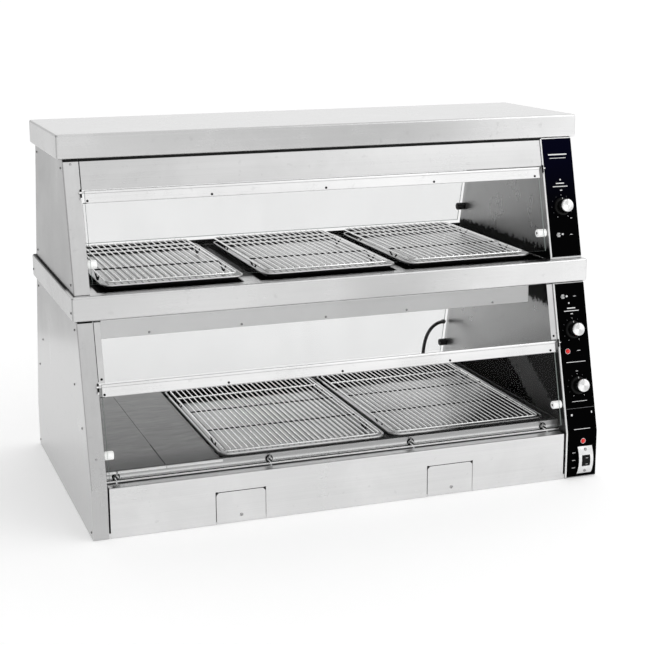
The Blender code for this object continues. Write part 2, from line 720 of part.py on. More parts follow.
# ---------------------------------------------------------------- pans and racks
def sheet_pan(name, size, x, y, rim_bottom, height):
    """A shallow sheet pan: flat floor, leaning walls and a rim that curls down."""
    top = rim_bottom + RIM_HEIGHT
    floor = top - height + PAN_SHEET
    width, depth = size
    wall = 2 * RIM_WIDTH
    rings = [
        (width - wall - 0.014, depth - wall - 0.014, 0.016, floor),
        (width - wall, depth - wall, 0.022, top - 0.0015),
        (width - wall + 0.003, depth - wall + 0.003, 0.0235, top),
        (width - 0.003, depth - 0.003, 0.0265, top),
        (width, depth, 0.028, top - 0.0025),
        (width, depth, 0.028, rim_bottom),
    ]
    bm = bmesh.new()
    loops = []
    for ring_width, ring_depth, radius, z in rings:
        outline = rounded_rectangle(ring_width, ring_depth, radius)
        loops.append([bm.verts.new((x + px, y + py, z)) for px, py in outline])
    bm.faces.new(loops[0])
    count = len(loops[0])
    for inner, outer in zip(loops, loops[1:]):
        for i in range(count):
            j = (i + 1) % count
            bm.faces.new((inner[i], outer[i], outer[j], inner[j]))
    bmesh.ops.recalc_face_normals(bm, faces=bm.faces)
    lowest = min(bm.faces, key=lambda f: f.calc_center_median().z)
    if lowest.normal.z < 0:
        bmesh.ops.reverse_faces(bm, faces=bm.faces)
    pan = add_part(name, surface_mesh(name, bm), "pan_aluminium")
    thicken(pan, PAN_SHEET)
    return set_origin(pan, (x, y, floor))


def wire_rack(name, size, x, y, z_top, floor, slots, foot_reach):
    """A wire rack as a frame of bars that run front to back, on four feet."""
    half_w = size[0] / 2
    half_d = size[1] / 2
    z_low = z_top - RACK_BAR
    outline = [(x + px, y + py) for px, py in rounded_rectangle(*size, 0.012)]
    rack = add_part(name, slab_mesh(name, outline, z_low, z_top), "chrome")
    pitch = (size[0] - 2 * RACK_FRAME + RACK_BAR) / slots
    y_low = y - half_d + RACK_FRAME
    y_high = y + half_d - RACK_FRAME
    gaps = []
    for i in range(slots):
        x_low = x - half_w + RACK_FRAME + i * pitch
        x_high = x_low + pitch - RACK_BAR
        gaps.append(((x_low, y_low, z_low - 0.01), (x_high, y_high, z_top + 0.01)))
    boolean(rack, add_cutter(name + "_gaps", box_mesh(name + "_gaps", *gaps)))
    feet = []
    foot_bar = half_w - RACK_FRAME - 2 * pitch + RACK_BAR / 2
    half = RACK_BAR / 2
    for side, end in ((-1, -1), (-1, 1), (1, -1), (1, 1)):
        foot_x = x + side * foot_bar
        foot_y = y + end * foot_reach
        low = (foot_x - half, foot_y - RACK_FOOT / 2, floor + GAP)
        feet.append((low, (foot_x + half, foot_y + RACK_FOOT / 2, z_low + half)))
    boolean(rack, add_cutter(name + "_feet", box_mesh(name + "_feet", *feet)), "UNION")
    return set_origin(bake(rack), (x, y, z_top))


def build_pans():
    """Three pans that stand on the upper deck and two that hang in the lower one, with racks."""
    floor = UPPER_DECK_TOP + GAP + PAN_SHEET
    rim = UPPER_DECK_TOP + GAP + UPPER_PAN_HEIGHT - RIM_HEIGHT
    shape = (UPPER_RACK_TOP, floor, UPPER_RACK_SLOTS, UPPER_FOOT_Y)
    for number, (x, rack_x) in enumerate(zip(UPPER_PAN_X, UPPER_RACK_X), 1):
        sheet_pan("upper_pan_%d" % number, HALF_PAN, x, 0, rim, UPPER_PAN_HEIGHT)
        wire_rack("upper_rack_%d" % number, UPPER_RACK, rack_x, 0, *shape)
    rim = DECK_TOP - SHEET
    floor = rim + RIM_HEIGHT - LOWER_PAN_HEIGHT + PAN_SHEET
    shape = (LOWER_RACK_TOP, floor, LOWER_RACK_SLOTS, LOWER_FOOT_Y)
    for number, (x, rack_x) in enumerate(zip(LOWER_PAN_X, LOWER_RACK_X), 1):
        sheet_pan("lower_pan_%d" % number, LARGE_PAN, x, LOWER_PAN_Y, rim, LOWER_PAN_HEIGHT)
        wire_rack("lower_rack_%d" % number, LOWER_RACK, rack_x, LOWER_RACK_Y, *shape)


# ---------------------------------------------------------------- controls
PANEL_THICKNESS = 0.0020
PANEL_LEFT = RIGHT_IN + 0.0045
PANEL_RIGHT = RIGHT_OUT - 0.0015
TOGGLE_PIVOT = 0.0035          # of the toggles' axes above the panel
ESCUTCHEON = (0.0390, 0.0670, 0.0095)
ROCKER_OPENING = (0.0220, 0.0280)
ROCKER_SIZE = (0.0200, 0.0250)
ROCKER_REACH = 0.0115          # of the rocker's upper and lower edges beyond the panel
ROCKER_PIVOT = 0.0040


def control_frame(tier, x, z):
    """Frame on the outer surface of a leaning control panel."""
    return tier.frame(x, z, -(PANEL_THICKNESS + GAP))


def build_panels():
    z_low = SHELF_TOP + 0.005
    height = (ROOF_BOTTOM - 0.003 - z_low) / cos(UPPER.lean)
    outline = [(PANEL_LEFT, 0), (PANEL_RIGHT, 0), (PANEL_RIGHT, height), (PANEL_LEFT, height)]
    place = control_frame(UPPER, 0, z_low)
    plate("upper_control_panel", outline, PANEL_THICKNESS, place, "black_panel")

    top = SHELF_BOTTOM - 0.002
    front = -HALF_DEPTH - GAP
    kink = KINK_HEIGHT - GAP * LOWER.lean / 2
    profile = [(front, 0.003), (front, kink), (-LOWER.half_at(top, -GAP), top)]
    panel = folded_strip("lower_control_panel", profile, PANEL_LEFT, PANEL_RIGHT, "black_panel")
    panel.modifiers["sheet"].thickness = PANEL_THICKNESS


def knob(name, tier, z):
    """Control knob with a wide skirt and a raised, slightly domed grip."""
    skirt = KNOB_SKIRT_RADIUS
    profile = [(0, KNOB_HEIGHT), (0.013, KNOB_HEIGHT - 0.0004), (0.0160, KNOB_HEIGHT - 0.0024),
               (0.0172, 0.0100), (0.0185, 0.0060), (skirt - 0.001, 0.0050), (skirt, 0.0038),
               (skirt, 0), (0, 0)]
    place = control_frame(tier, CONTROL_X, z) @ Matrix.Translation((0, 0, GAP))
    return turned(name, profile, place, "chrome")


def toggle(name, tier, x, z):
    """Bat lever of a toggle switch, turning about an axis along X."""
    place = control_frame(tier, x, z) @ Matrix.Translation((0, 0, TOGGLE_PIVOT))
    profile = [(0, 0.0190), (0.0021, 0.0180), (0.0029, 0.0150), (0.0016, 0), (0.0010, -0.0022),
               (0, -0.0026)]
    return turned(name, profile, place, "chrome", steps=12)


def lamp(name, place):
    """Round indicator lens."""
    profile = [(0, 0.0060), (0.0030, 0.0053), (0.0052, 0.0030), (0.0056, 0), (0, 0)]
    return turned(name, profile, place @ Matrix.Translation((0, 0, GAP)), "red_lens", steps=16)


def arc_profile(half_height, rise, steps):
    """(bulge, z) points of a shallow arc that stands out from a wall."""
    radius = (half_height ** 2 + rise ** 2) / (2 * rise)
    reach = atan2(half_height, radius - rise)
    points = []
    for step in range(steps + 1):
        angle = -reach + 2 * reach * step / steps
        points.append((radius * cos(angle) - (radius - rise), radius * sin(angle)))
    return points


def build_selector():
    """Three-position rocker in a bowed chrome escutcheon."""
    x, z = ROCKER
    face_y = -HALF_DEPTH - GAP - PANEL_THICKNESS - GAP
    width, height, rise = ESCUTCHEON
    profile = [(face_y - bulge, z + dz) for bulge, dz in arc_profile(height / 2, rise, 10)]
    cover = folded_strip("rocker_escutcheon", profile, x - width / 2, x + width / 2, "chrome")
    half_w, half_h = (side / 2 for side in ROCKER_OPENING)
    box = ((x - half_w, face_y - 0.02, z - half_h), (x + half_w, face_y + 0.01, z + half_h))
    boolean(cover, add_cutter("rocker_opening", box_mesh("rocker_opening", box)))
    bake(cover)

    half_w, half_h = (side / 2 for side in ROCKER_SIZE)
    bow = arc_profile(half_h, 0.0035, 6)
    outline = [(face_y - ROCKER_REACH - bulge, z + dz) for bulge, dz in bow]
    back = face_y - 0.0025
    outline += [(back, z + half_h - 0.0025), (back, z - half_h + 0.0025)]
    solid = prism_bm(outline, x - half_w, x + half_w)
    rocker = add_part("selector_rocker", to_mesh("selector_rocker", solid), "black_plastic")
    set_origin(rocker, (x, face_y - ROCKER_PIVOT, z))


def build_controls():
    build_panels()
    knob("upper_heat_knob", UPPER, UPPER_KNOB_Z)
    knob("lower_heat_knob", LOWER, LOWER_KNOB_Z)
    knob("water_heat_knob", LOWER, WATER_KNOB_Z)
    toggle("upper_toggle", UPPER, *UPPER_TOGGLE)
    toggle("lower_toggle", LOWER, *LOWER_TOGGLE)
    lamp("power_lamp", control_frame(LOWER, *POWER_LAMP))
    x, z = LOW_WATER_LAMP
    face_y = -HALF_DEPTH - GAP - PANEL_THICKNESS
    upright = Matrix.Rotation(pi / 2, 4, "X")
    lamp("low_water_lamp", Matrix.Translation((x, face_y, z)) @ upright)
    build_selector()


build_sides()
build_base()
build_deck()
build_water()
build_shelf()
build_roof()
build_doors()
build_bumpers()
build_pans()
build_controls()
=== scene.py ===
"""Looks of a two-tier heated food cabinet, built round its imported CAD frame."""
import json
from math import cos, pi, radians, sin, sqrt, tau

import bmesh
import bpy
from mathutils import Matrix, Vector


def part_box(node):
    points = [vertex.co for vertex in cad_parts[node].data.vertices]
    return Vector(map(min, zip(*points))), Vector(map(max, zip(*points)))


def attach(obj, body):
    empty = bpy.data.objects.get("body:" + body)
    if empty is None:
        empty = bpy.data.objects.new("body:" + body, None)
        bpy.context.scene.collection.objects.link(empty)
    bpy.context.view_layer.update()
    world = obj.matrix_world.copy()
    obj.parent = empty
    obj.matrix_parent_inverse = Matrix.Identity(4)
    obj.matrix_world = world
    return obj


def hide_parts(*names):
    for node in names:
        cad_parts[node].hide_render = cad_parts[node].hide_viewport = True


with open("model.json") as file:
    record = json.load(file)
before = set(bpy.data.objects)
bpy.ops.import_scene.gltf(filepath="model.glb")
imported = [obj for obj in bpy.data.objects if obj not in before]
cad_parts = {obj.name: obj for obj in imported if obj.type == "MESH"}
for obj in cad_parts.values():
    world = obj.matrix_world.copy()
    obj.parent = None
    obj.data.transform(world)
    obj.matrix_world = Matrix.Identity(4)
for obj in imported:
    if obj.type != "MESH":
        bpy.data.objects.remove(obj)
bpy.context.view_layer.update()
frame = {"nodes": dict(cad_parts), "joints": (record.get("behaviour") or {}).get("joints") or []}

NODES = frame["nodes"]
CABINET = "cabinet"


# ---------------------------------------------------------------- places taken from the frame
class Slope:
    """A leaning front surface, read from the largest front-facing face of a CAD piece."""

    def __init__(self, node):
        faces = [f for f in NODES[node].data.polygons if f.normal.y < -0.9 and f.normal.z > 0.1]
        face = max(faces, key=lambda f: f.area)
        self.centre = face.center.copy()
        self.normal = face.normal.copy()
        self.up = Vector((1, 0, 0)).cross(-self.normal)
        if self.up.z < 0:
            self.up.negate()

    def at(self, x, z, out=0.0):
        """The point at height z on the surface, or moved out along its normal."""
        rise = z - self.centre.z
        y = self.centre.y - rise * self.normal.z / self.normal.y
        return Vector((x, y, z)) + self.normal * out

    def place(self, x, z):
        """A frame at that point: X along the cabinet, Y up the slope, Z outwards."""
        made = Matrix((Vector((1, 0, 0)), self.up, self.normal)).transposed().to_4x4()
        made.translation = self.at(x, z)
        return made


UPPER_PANEL = Slope("upper_control_panel")
LOWER_PANEL = Slope("lower_control_panel")
UPPER_SKIN = Slope("upper_right_skin")
LOWER_SKIN = Slope("lower_right_skin")


def upright(x, y, z):
    """A frame on an upright front: X along the cabinet, Y up, Z towards the front."""
    return Matrix.Translation((x, y, z)) @ Matrix.Rotation(pi / 2, 4, "X")


def sideways(x, y, z, sign):
    """A frame whose Z points out of the left (-1) or right (+1) side."""
    return Matrix.Translation((x, y, z)) @ Matrix.Rotation(sign * pi / 2, 4, "Y")


def behind(matrix):
    """The mirror place at the rear of the cabinet, turned half round and not inside out."""
    x = matrix.translation.x
    turn = Matrix.Translation((x, 0, 0)) @ Matrix.Rotation(pi, 4, "Z") @ Matrix.Translation((-x, 0, 0))
    return turn @ matrix


def joint_of(body):
    """The joint that carries a body."""
    return next(j for j in frame["joints"] if j["child"] == body)


# ---------------------------------------------------------------- node materials
NOISE_LOW = 0.3
NOISE_HIGH = 0.7


class Shader:
    """A node material under construction."""

    def __init__(self, name):
        self.material = bpy.data.materials.new(name)
        self.material.use_nodes = True
        self.nodes = self.material.node_tree.nodes
        self.links = self.material.node_tree.links
        self.surface = self.nodes["Principled BSDF"]
        self.output = self.nodes["Material Output"]
        self.coords = self.nodes.new("ShaderNodeTexCoord")

    def node(self, kind, inputs=(), **settings):
        """A new node with its settings made and its inputs fed."""
        made = self.nodes.new(kind)
        for key, value in settings.items():
            setattr(made, key, value)
        for key, value in dict(inputs).items():
            self.feed(made.inputs[key], value)
        return made

    def feed(self, socket, value):
        """Link a socket's source, or set its value; three numbers are a colour."""
        if isinstance(value, bpy.types.NodeSocket):
            self.links.new(value, socket)
        elif isinstance(value, tuple) and len(value) == 3 and socket.type == "RGBA":
            socket.default_value = (*value, 1.0)
        else:
            socket.default_value = value

    def stretched(self, scale, turn=(0, 0, 0)):
        """Object coordinates, in metres, times a scale for each axis."""
        inputs = {"Vector": self.coords.outputs["Object"], "Scale": scale, "Rotation": turn}
        return self.node("ShaderNodeMapping", inputs).outputs["Vector"]

    def noise(self, scale, detail=2.0, roughness=0.5, turn=(0, 0, 0), distortion=0.0):
        """Noise of a scale in cycles a metre, one number or one for each axis."""
        scale = scale if isinstance(scale, tuple) else (scale,) * 3
        inputs = {"Vector": self.stretched(scale, turn), "Scale": 1.0, "Detail": detail,
                  "Roughness": roughness, "Distortion": distortion}
        return self.node("ShaderNodeTexNoise", inputs).outputs["Fac"]

    def remap(self, value, low, high, start=0.0, end=1.0, smooth=False):
        """A value between low and high turned into one between start and end, and held there."""
        inputs = {"Value": value, "From Min": low, "From Max": high, "To Min": start, "To Max": end}
        kind = "SMOOTHSTEP" if smooth else "LINEAR"
        return self.node("ShaderNodeMapRange", inputs, interpolation_type=kind).outputs["Result"]

    def spread(self, noise, start=0.0, end=1.0):
        """The usual span of a noise field turned into start to end."""
        return self.remap(noise, NOISE_LOW, NOISE_HIGH, start, end)

    def math(self, operation, a, b=0.5, c=0.5):
        return self.node("ShaderNodeMath", {0: a, 1: b, 2: c}, operation=operation).outputs[0]

    def mix(self, factor, a, b, blend="MIX"):
        mixer = self.node("ShaderNodeMix", data_type="RGBA", blend_type=blend)
        self.feed(mixer.inputs[0], factor)
        self.feed(mixer.inputs[6], a)
        self.feed(mixer.inputs[7], b)
        return mixer.outputs[2]

    def times(self, a, b):
        return self.math("MULTIPLY", a, b)

    def larger(self, a, b):
        return self.math("MAXIMUM", a, b)

    def axis(self, name, of="Object"):
        """One object coordinate, in metres, or one part of the normal."""
        return self.node("ShaderNodeSeparateXYZ", {0: self.coords.outputs[of]}).outputs[name]

    def facing(self, name):
        """1 on faces that look along an axis, 0 on the others."""
        return self.remap(self.math("ABSOLUTE", self.axis(name, "Normal")), 0.55, 0.75)

    def ramp(self, value, *stops):
        """A smooth multiplier that passes through (position, strength) stops."""
        curve = self.node("ShaderNodeFloatCurve", {"Value": value})
        low, high = stops[0][0], stops[-1][0]
        top = max(strength for _, strength in stops)
        self.feed(curve.inputs["Value"], self.remap(value, low, high))
        points = curve.mapping.curves[0].points
        for index, (position, strength) in enumerate(stops):
            at = ((position - low) / (high - low), strength / top)
            if index in (0, len(stops) - 1):
                points[0 if index == 0 else -1].location = at
            else:
                points.new(*at)
        curve.mapping.update()
        return self.times(curve.outputs[0], top)

    def shade(self, colour, strength):
        """A colour times a grey strength, which may pass 1."""
        scale = self.node("ShaderNodeVectorMath", {0: colour, 3: strength}, operation="SCALE")
        return scale.outputs[0]

    def dull(self, strength, metallic=1.0):
        """Metallic and specular levels that fall away where a surface is painted dark with shade."""
        metal = self.remap(strength, 0.10, 0.45, 0.0, metallic)
        return {"metallic": metal, "specular_ior_level": self.remap(strength, 0.10, 0.45, 0.01, 0.5)}

    def bump(self, height, distance, strength=1.0, normal=None):
        """A normal tilted by a height field, over another normal if one is given."""
        inputs = {"Height": height, "Distance": distance, "Strength": strength}
        if normal is not None:
            inputs["Normal"] = normal
        return self.node("ShaderNodeBump", inputs).outputs["Normal"]

    def soft_edges(self, radius):
        """A normal that rounds the mesh's sharp edges."""
        return self.node("ShaderNodeBevel", {"Radius": radius}, samples=6).outputs["Normal"]

    def set(self, **values):
        """Feed inputs of the main shader, named in lower case, and return the material."""
        for key, value in values.items():
            self.feed(self.surface.inputs[key.replace("_", " ").title().replace("Ior", "IOR")], value)
        return self.material


def grey(value):
    """A neutral colour."""
    return (value, value, value)


CLOUD_GAIN = 1.08


def brushed_steel(name, tone, roughness, grain="X", smudge=0.05, edge=0.0012, along=None,
                  front=None, side=1.0, top=None, lean=0.0):
    """Brushed stainless sheet: fine grain along one axis, faint cloudy handling marks.

    along is an axis and the (place, strength) stops of a slow change in tone, painted light and
    reflection; front is the same for its front and rear faces alone, side is the tone of its end
    faces, painted shade, and top is the axis and stops of its level faces, painted shade that also
    dulls the metal. lean tilts the painted change in tone from front to rear.
    """
    shader = Shader(name)
    fine = tuple(4.0 if axis == grain else 1500.0 for axis in "XYZ")
    broad = tuple(1.5 if axis == grain else 130.0 for axis in "XYZ")
    lines = shader.noise(fine, detail=2.0)
    bands = shader.noise(broad, detail=3.0)
    clouds = shader.noise(5.0, detail=4.0, roughness=0.6, distortion=0.6)
    streaks = shader.math("MULTIPLY_ADD", lines, 0.6, shader.times(bands, 0.4))
    colour = shader.mix(shader.spread(streaks), grey(tone * 0.955), grey(tone * 1.04))
    colour = shader.mix(shader.remap(clouds, 0.35, 0.7, 0.0, 1.0, True), colour,
                        shader.mix(1.0, colour, grey(CLOUD_GAIN), "MULTIPLY"))
    spots = shader.noise(60.0, detail=2.0)
    wear = shader.remap(spots, 0.66, 0.74, 0.0, 0.35)
    colour = shader.mix(wear, colour, grey(tone * 0.80))
    plain = colour
    # Painted light: a slow change in tone along an axis, standing in for reflection and falloff.
    if along:
        place = shader.math("MULTIPLY_ADD", shader.axis("Y"), lean, shader.axis(along[0]))
        colour = shader.shade(colour, shader.ramp(place, *along[1:]))
    # Painted light: front and rear faces lit differently from the rest.
    if front:
        faced = shader.shade(plain, shader.ramp(shader.axis(front[0]), *front[1:]))
        colour = shader.mix(shader.facing("Y"), colour, faced)
    # Painted shade on the end faces.
    if side != 1.0:
        colour = shader.mix(shader.facing("X"), colour, shader.shade(colour, side))
    levels = {"metallic": 1.0}
    # Painted shade on the level faces, with the metal dulled where it is dark.
    if top:
        strength = shader.ramp(shader.axis(top[0]), *top[1:])
        colour = shader.mix(shader.facing("Z"), colour, shader.shade(plain, strength))
        shaded = shader.times(shader.facing("Z"), shader.math("SUBTRACT", 1.0, strength))
        levels = shader.dull(shader.math("SUBTRACT", 1.0, shaded))
    rough = shader.spread(clouds, roughness - smudge, roughness + smudge)
    rough = shader.math("ADD", rough, shader.spread(streaks, -0.02, 0.02))
    normal = shader.bump(streaks, 0.00004, 0.35, shader.soft_edges(edge))
    return shader.set(base_color=colour, roughness=rough, normal=normal, **levels)


def wall_steel(name, tone, roughness, levels, flange):
    """Inner wall: cloudy stainless with painted shade that goes black, with a ragged edge, towards the pans.

    levels are (height, strength) stops of the painted shade in the upper tier and at the top of the lower
    one; flange is the painted light on faces turned to the front.
    """
    shader = Shader(name)
    clouds = shader.noise(7.0, detail=4.0, roughness=0.6, distortion=0.2)
    ragged = shader.noise(75.0, detail=4.0, roughness=0.7)
    lines = shader.noise((900.0, 900.0, 5.0), detail=2.0)
    spots = shader.noise(70.0, detail=2.0)
    colour = shader.mix(shader.spread(clouds), grey(tone * 0.90), grey(tone * 1.15))
    colour = shader.mix(shader.spread(lines, 0.0, 0.3), colour, grey(tone * 0.8))
    colour = shader.mix(shader.remap(spots, 0.68, 0.74, 0.0, 0.5), colour, grey(tone * 0.6))
    # Painted light: brighter towards the rear.
    colour = shader.shade(colour, shader.remap(shader.axis("Y"), -0.30, 0.20, 0.70, 1.12))
    height = shader.math("MULTIPLY_ADD", shader.math("SUBTRACT", ragged, 0.5), 0.048, shader.axis("Z"))
    strength = shader.ramp(height, *levels)
    # Painted shadow line cast across the wall, and a painted reflection streak (band) below it.
    shadow_line = shader.math("MULTIPLY_ADD", shader.axis("Y"), 0.257, shader.axis("Z"))
    lit = shader.remap(shadow_line, 0.226, 0.238, 0.0, 1.0, True)
    lit = shader.larger(lit, shader.remap(shader.axis("Z"), 0.48, 0.49))
    slant = shader.math("MULTIPLY_ADD", shader.axis("Y"), -0.57, height)
    band = shader.times(shader.remap(slant, 0.250, 0.262, 0.0, 0.20, True),
                       shader.remap(slant, 0.335, 0.350, 1.0, 0.35, True))
    strength = shader.larger(shader.times(strength, lit),
                           shader.times(band, shader.math("SUBTRACT", 1.0, lit)))
    plain = colour
    colour = shader.shade(colour, strength)
    # Painted light on the faces turned to the front.
    colour = shader.mix(shader.facing("Y"), colour, shader.shade(plain, flange))
    rough = shader.spread(clouds, roughness - 0.08, roughness + 0.08)
    normal = shader.bump(lines, 0.00004, 0.35, shader.soft_edges(0.0008))
    levels = shader.dull(shader.larger(strength, shader.facing("Y")))
    return shader.set(base_color=colour, roughness=rough, normal=normal, **levels)


def worn_plate(name, tone, roughness):
    """Flat cooking-side plate: mottled, with short scratches, a painted diagonal sheen and painted shade
    near the front.
    """
    shader = Shader(name)
    mottle = shader.noise((14.0, 30.0, 14.0), detail=8.0, roughness=0.72, distortion=1.0)
    grain = shader.noise((12.0, 700.0, 700.0), detail=3.0)
    colour = shader.mix(shader.spread(mottle), grey(tone * 0.52), grey(tone * 1.48))
    colour = shader.mix(shader.spread(grain, 0.0, 0.5), colour, grey(tone * 1.25))
    scratch = None
    for turn, seed_scale in ((0.05, 31.0), (0.5, 37.0), (-0.3, 29.0)):
        field = shader.noise((seed_scale, 900.0, 900.0), detail=1.0, turn=(0, 0, turn))
        place = shader.noise((14.0, 30.0, 14.0), detail=2.0, turn=(0, 0, turn * 3))
        line = shader.times(shader.remap(field, 0.66, 0.72), shader.remap(place, 0.5, 0.6))
        scratch = line if scratch is None else shader.larger(scratch, line)
    colour = shader.mix(shader.times(scratch, 0.9), colour, grey(tone * 0.25))
    # Painted reflection: a pale diagonal sheen across the plate.
    across = shader.math("MULTIPLY_ADD", shader.axis("Y"), -0.16, shader.axis("X"))
    painted_sheen = shader.math("ABSOLUTE", shader.math("ADD", across, 0.545))
    painted_sheen = shader.remap(painted_sheen, 0.008, 0.020, 0.32, 0.0, True)
    colour = shader.mix(painted_sheen, colour, grey(tone * 1.7))
    # Painted shade: darker towards the front edge.
    front = shader.remap(shader.axis("Y"), -0.325, -0.205, 0.80, 0.0, True)
    colour = shader.mix(front, colour, grey(tone * 0.34))
    rough = shader.spread(mottle, roughness - 0.07, roughness + 0.08)
    normal = shader.bump(shader.math("SUBTRACT", grain, scratch), 0.00006, 0.4,
                         shader.soft_edges(0.0008))
    return shader.set(base_color=colour, metallic=0.85, roughness=rough, normal=normal)


def chrome(name, tone=0.80, roughness=0.10, stain=0.0, painted_glow=0.0):
    """Bright plating with a faint haze and, on racks, darker heat-stained stretches."""
    shader = Shader(name)
    haze = shader.noise(45.0, detail=3.0)
    colour = shader.mix(shader.spread(haze), grey(tone * 0.90), grey(tone * 1.05))
    if stain:
        patches = shader.noise(11.0, detail=3.0)
        colour = shader.mix(shader.remap(patches, 0.5, 0.62, 0.0, stain), colour,
                            (tone * 0.50, tone * 0.47, tone * 0.43))
    rough = shader.spread(haze, roughness * 0.7, roughness * 1.5)
    normal = shader.bump(haze, 0.00005, 0.3)
    # The glow here is painted light, making the plating brighter than its lighting.
    return shader.set(base_color=colour, metallic=1.0, roughness=rough, normal=normal,
                      emission_color=colour, emission_strength=painted_glow)


def pan_metal(name, tone, roughness, rear, pitch, rim, corner=None, under=None):
    """Sheet aluminium of a baking pan: cloudy, rubbed, with the painted shadow lines of its rack.

    It has painted shade, dark behind rear, a painted dark reflection beyond corner on a slant
    across the right end, and painted shadow on its outer walls below the height under. It has a
    painted highlight above the height rim, and pitch is the distance between the rack's wires.
    """
    shader = Shader(name)
    clouds = shader.noise(14.0, detail=5.0, roughness=0.6, distortion=1.0)
    rubbed = shader.noise((500.0, 18.0, 500.0), detail=2.0)
    cross = shader.noise((20.0, 500.0, 500.0), detail=2.0, turn=(0, 0, 0.4))
    marks = shader.larger(shader.remap(rubbed, 0.6, 0.75), shader.remap(cross, 0.62, 0.75))
    colour = shader.mix(shader.spread(clouds), grey(tone * 0.86), grey(tone * 1.10))
    colour = shader.mix(shader.times(marks, 0.35), colour, grey(tone * 0.62))
    wobble = shader.math("MULTIPLY_ADD", shader.math("SUBTRACT", clouds, 0.5), 0.03, shader.axis("Y"))
    # Painted shade behind the height rear, with a wobbly edge.
    strength = shader.remap(wobble, rear - 0.012, rear + 0.008, 1.0, 0.008, True)
    # Painted reflection: dark on a slant across the right end.
    if corner:
        across = shader.math("MULTIPLY_ADD", wobble, -0.86, shader.axis("X"))
        dark = shader.remap(across, corner - 0.05, corner + 0.05, 1.0, 0.06, True)
        strength = shader.times(strength, dark)
    # The rim stays lit through the painted shade.
    on_rim = shader.remap(shader.axis("Z"), rim, rim + 0.0004)
    strength = shader.larger(strength, shader.times(on_rim, 0.6))
    # Painted shadow on the outer walls below the rim.
    if under:
        outward = shader.remap(shader.axis("Y", "Normal"), -0.45, -0.25, 1.0, 0.0)
        below = shader.remap(shader.axis("Z"), under - 0.0004, under + 0.0004, 1.0, 0.0)
        painted_wall_shadow = shader.remap(shader.times(outward, below), 0.0, 1.0, 1.0, 0.02)
        strength = shader.times(strength, painted_wall_shadow)
    # Painted shadow lines of the rack's wires on the pan floor.
    place = shader.math("FRACT", shader.math("DIVIDE", shader.axis("X"), pitch))
    off_line = shader.math("ABSOLUTE", shader.math("SUBTRACT", place, 0.5))
    line = shader.remap(off_line, 0.08, 0.17, 0.26, 1.0, True)
    line = shader.larger(line, shader.remap(shader.facing("Z"), 0.0, 1.0, 1.0, 0.0))
    line = shader.larger(line, shader.remap(shader.axis("Z"), rim - 0.004, rim, 0.0, 1.0))
    # Painted highlight on the rim.
    painted_rim_highlight = shader.remap(on_rim, 0.0, 1.0, 1.0, 1.4)
    colour = shader.shade(colour, shader.times(shader.times(strength, line), painted_rim_highlight))
    rough = shader.spread(clouds, roughness - 0.06, roughness + 0.10)
    normal = shader.bump(shader.math("ADD", clouds, marks), 0.0002, 0.35, shader.soft_edges(0.0006))
    return shader.set(base_color=colour, roughness=rough, normal=normal, **shader.dull(strength, 0.9))


def plastic(name, colour, roughness, texture=900.0, depth=0.00003, specular=0.5, painted_glow=0.0):
    """Moulded or painted surface with a fine grain and slightly uneven gloss."""
    shader = Shader(name)
    grain = shader.noise(texture, detail=2.0)
    clouds = shader.noise(30.0, detail=3.0)
    shades = [tuple(c * share for c in colour) for share in (0.88, 1.08)]
    made = shader.mix(shader.spread(clouds), *shades)
    rough = shader.spread(clouds, roughness - 0.05, roughness + 0.06)
    normal = shader.bump(grain, depth, 0.5, shader.soft_edges(0.0005))
    # The glow here is painted light, making the surface brighter than its lighting.
    return shader.set(base_color=made, roughness=rough, normal=normal, specular_ior_level=specular,
                      emission_color=made, emission_strength=painted_glow)


def black_overlay(name):
    """Printed film of the control panels: satin black, a little bluer near the top."""
    shader = Shader(name)
    grain = shader.noise(1400.0, detail=2.0)
    clouds = shader.noise(7.0, detail=4.0)
    top = shader.remap(shader.axis("Z"), 0.60, 0.80, 0.0, 1.0, True)
    colour = shader.mix(top, (0.0008, 0.0008, 0.0009), (0.0010, 0.0010, 0.0075))
    dust = shader.noise(420.0, detail=1.0)
    colour = shader.mix(shader.remap(dust, 0.76, 0.82, 0.0, 0.15), colour, grey(0.10))
    rough = shader.spread(clouds, 0.26, 0.42)
    normal = shader.bump(grain, 0.00003, 0.4, shader.soft_edges(0.0006))
    return shader.set(base_color=colour, roughness=rough, normal=normal, specular_ior_level=0.008)


def painted_shade_plate(name):
    """Near-black plate under the upper pans, painted shade, a little paler in a few places."""
    shader = Shader(name)
    clouds = shader.noise(12.0, detail=4.0, distortion=0.8)
    grain = shader.noise(300.0, detail=2.0)
    colour = shader.mix(shader.remap(clouds, 0.4, 0.75), grey(0.001), grey(0.006))
    rough = shader.spread(clouds, 0.40, 0.60)
    normal = shader.bump(grain, 0.0001, 0.4)
    return shader.set(base_color=colour, roughness=rough, normal=normal, specular_ior_level=0.01)


def heater_sheath(name):
    """Oxidised metal-sheathed heating rod."""
    shader = Shader(name)
    bands = shader.noise(25.0, detail=4.0)
    colour = shader.mix(shader.remap(bands, 0.35, 0.65), (0.10, 0.09, 0.08), (0.26, 0.23, 0.20))
    rough = shader.spread(bands, 0.45, 0.65)
    normal = shader.bump(shader.noise(600.0, detail=3.0), 0.0001, 0.5)
    return shader.set(base_color=colour, metallic=0.7, roughness=rough, normal=normal)


CLEAR_PANE = (0.949, 0.950, 0.950)
SMEARED_PANE = tuple(c * 0.985 for c in CLEAR_PANE)


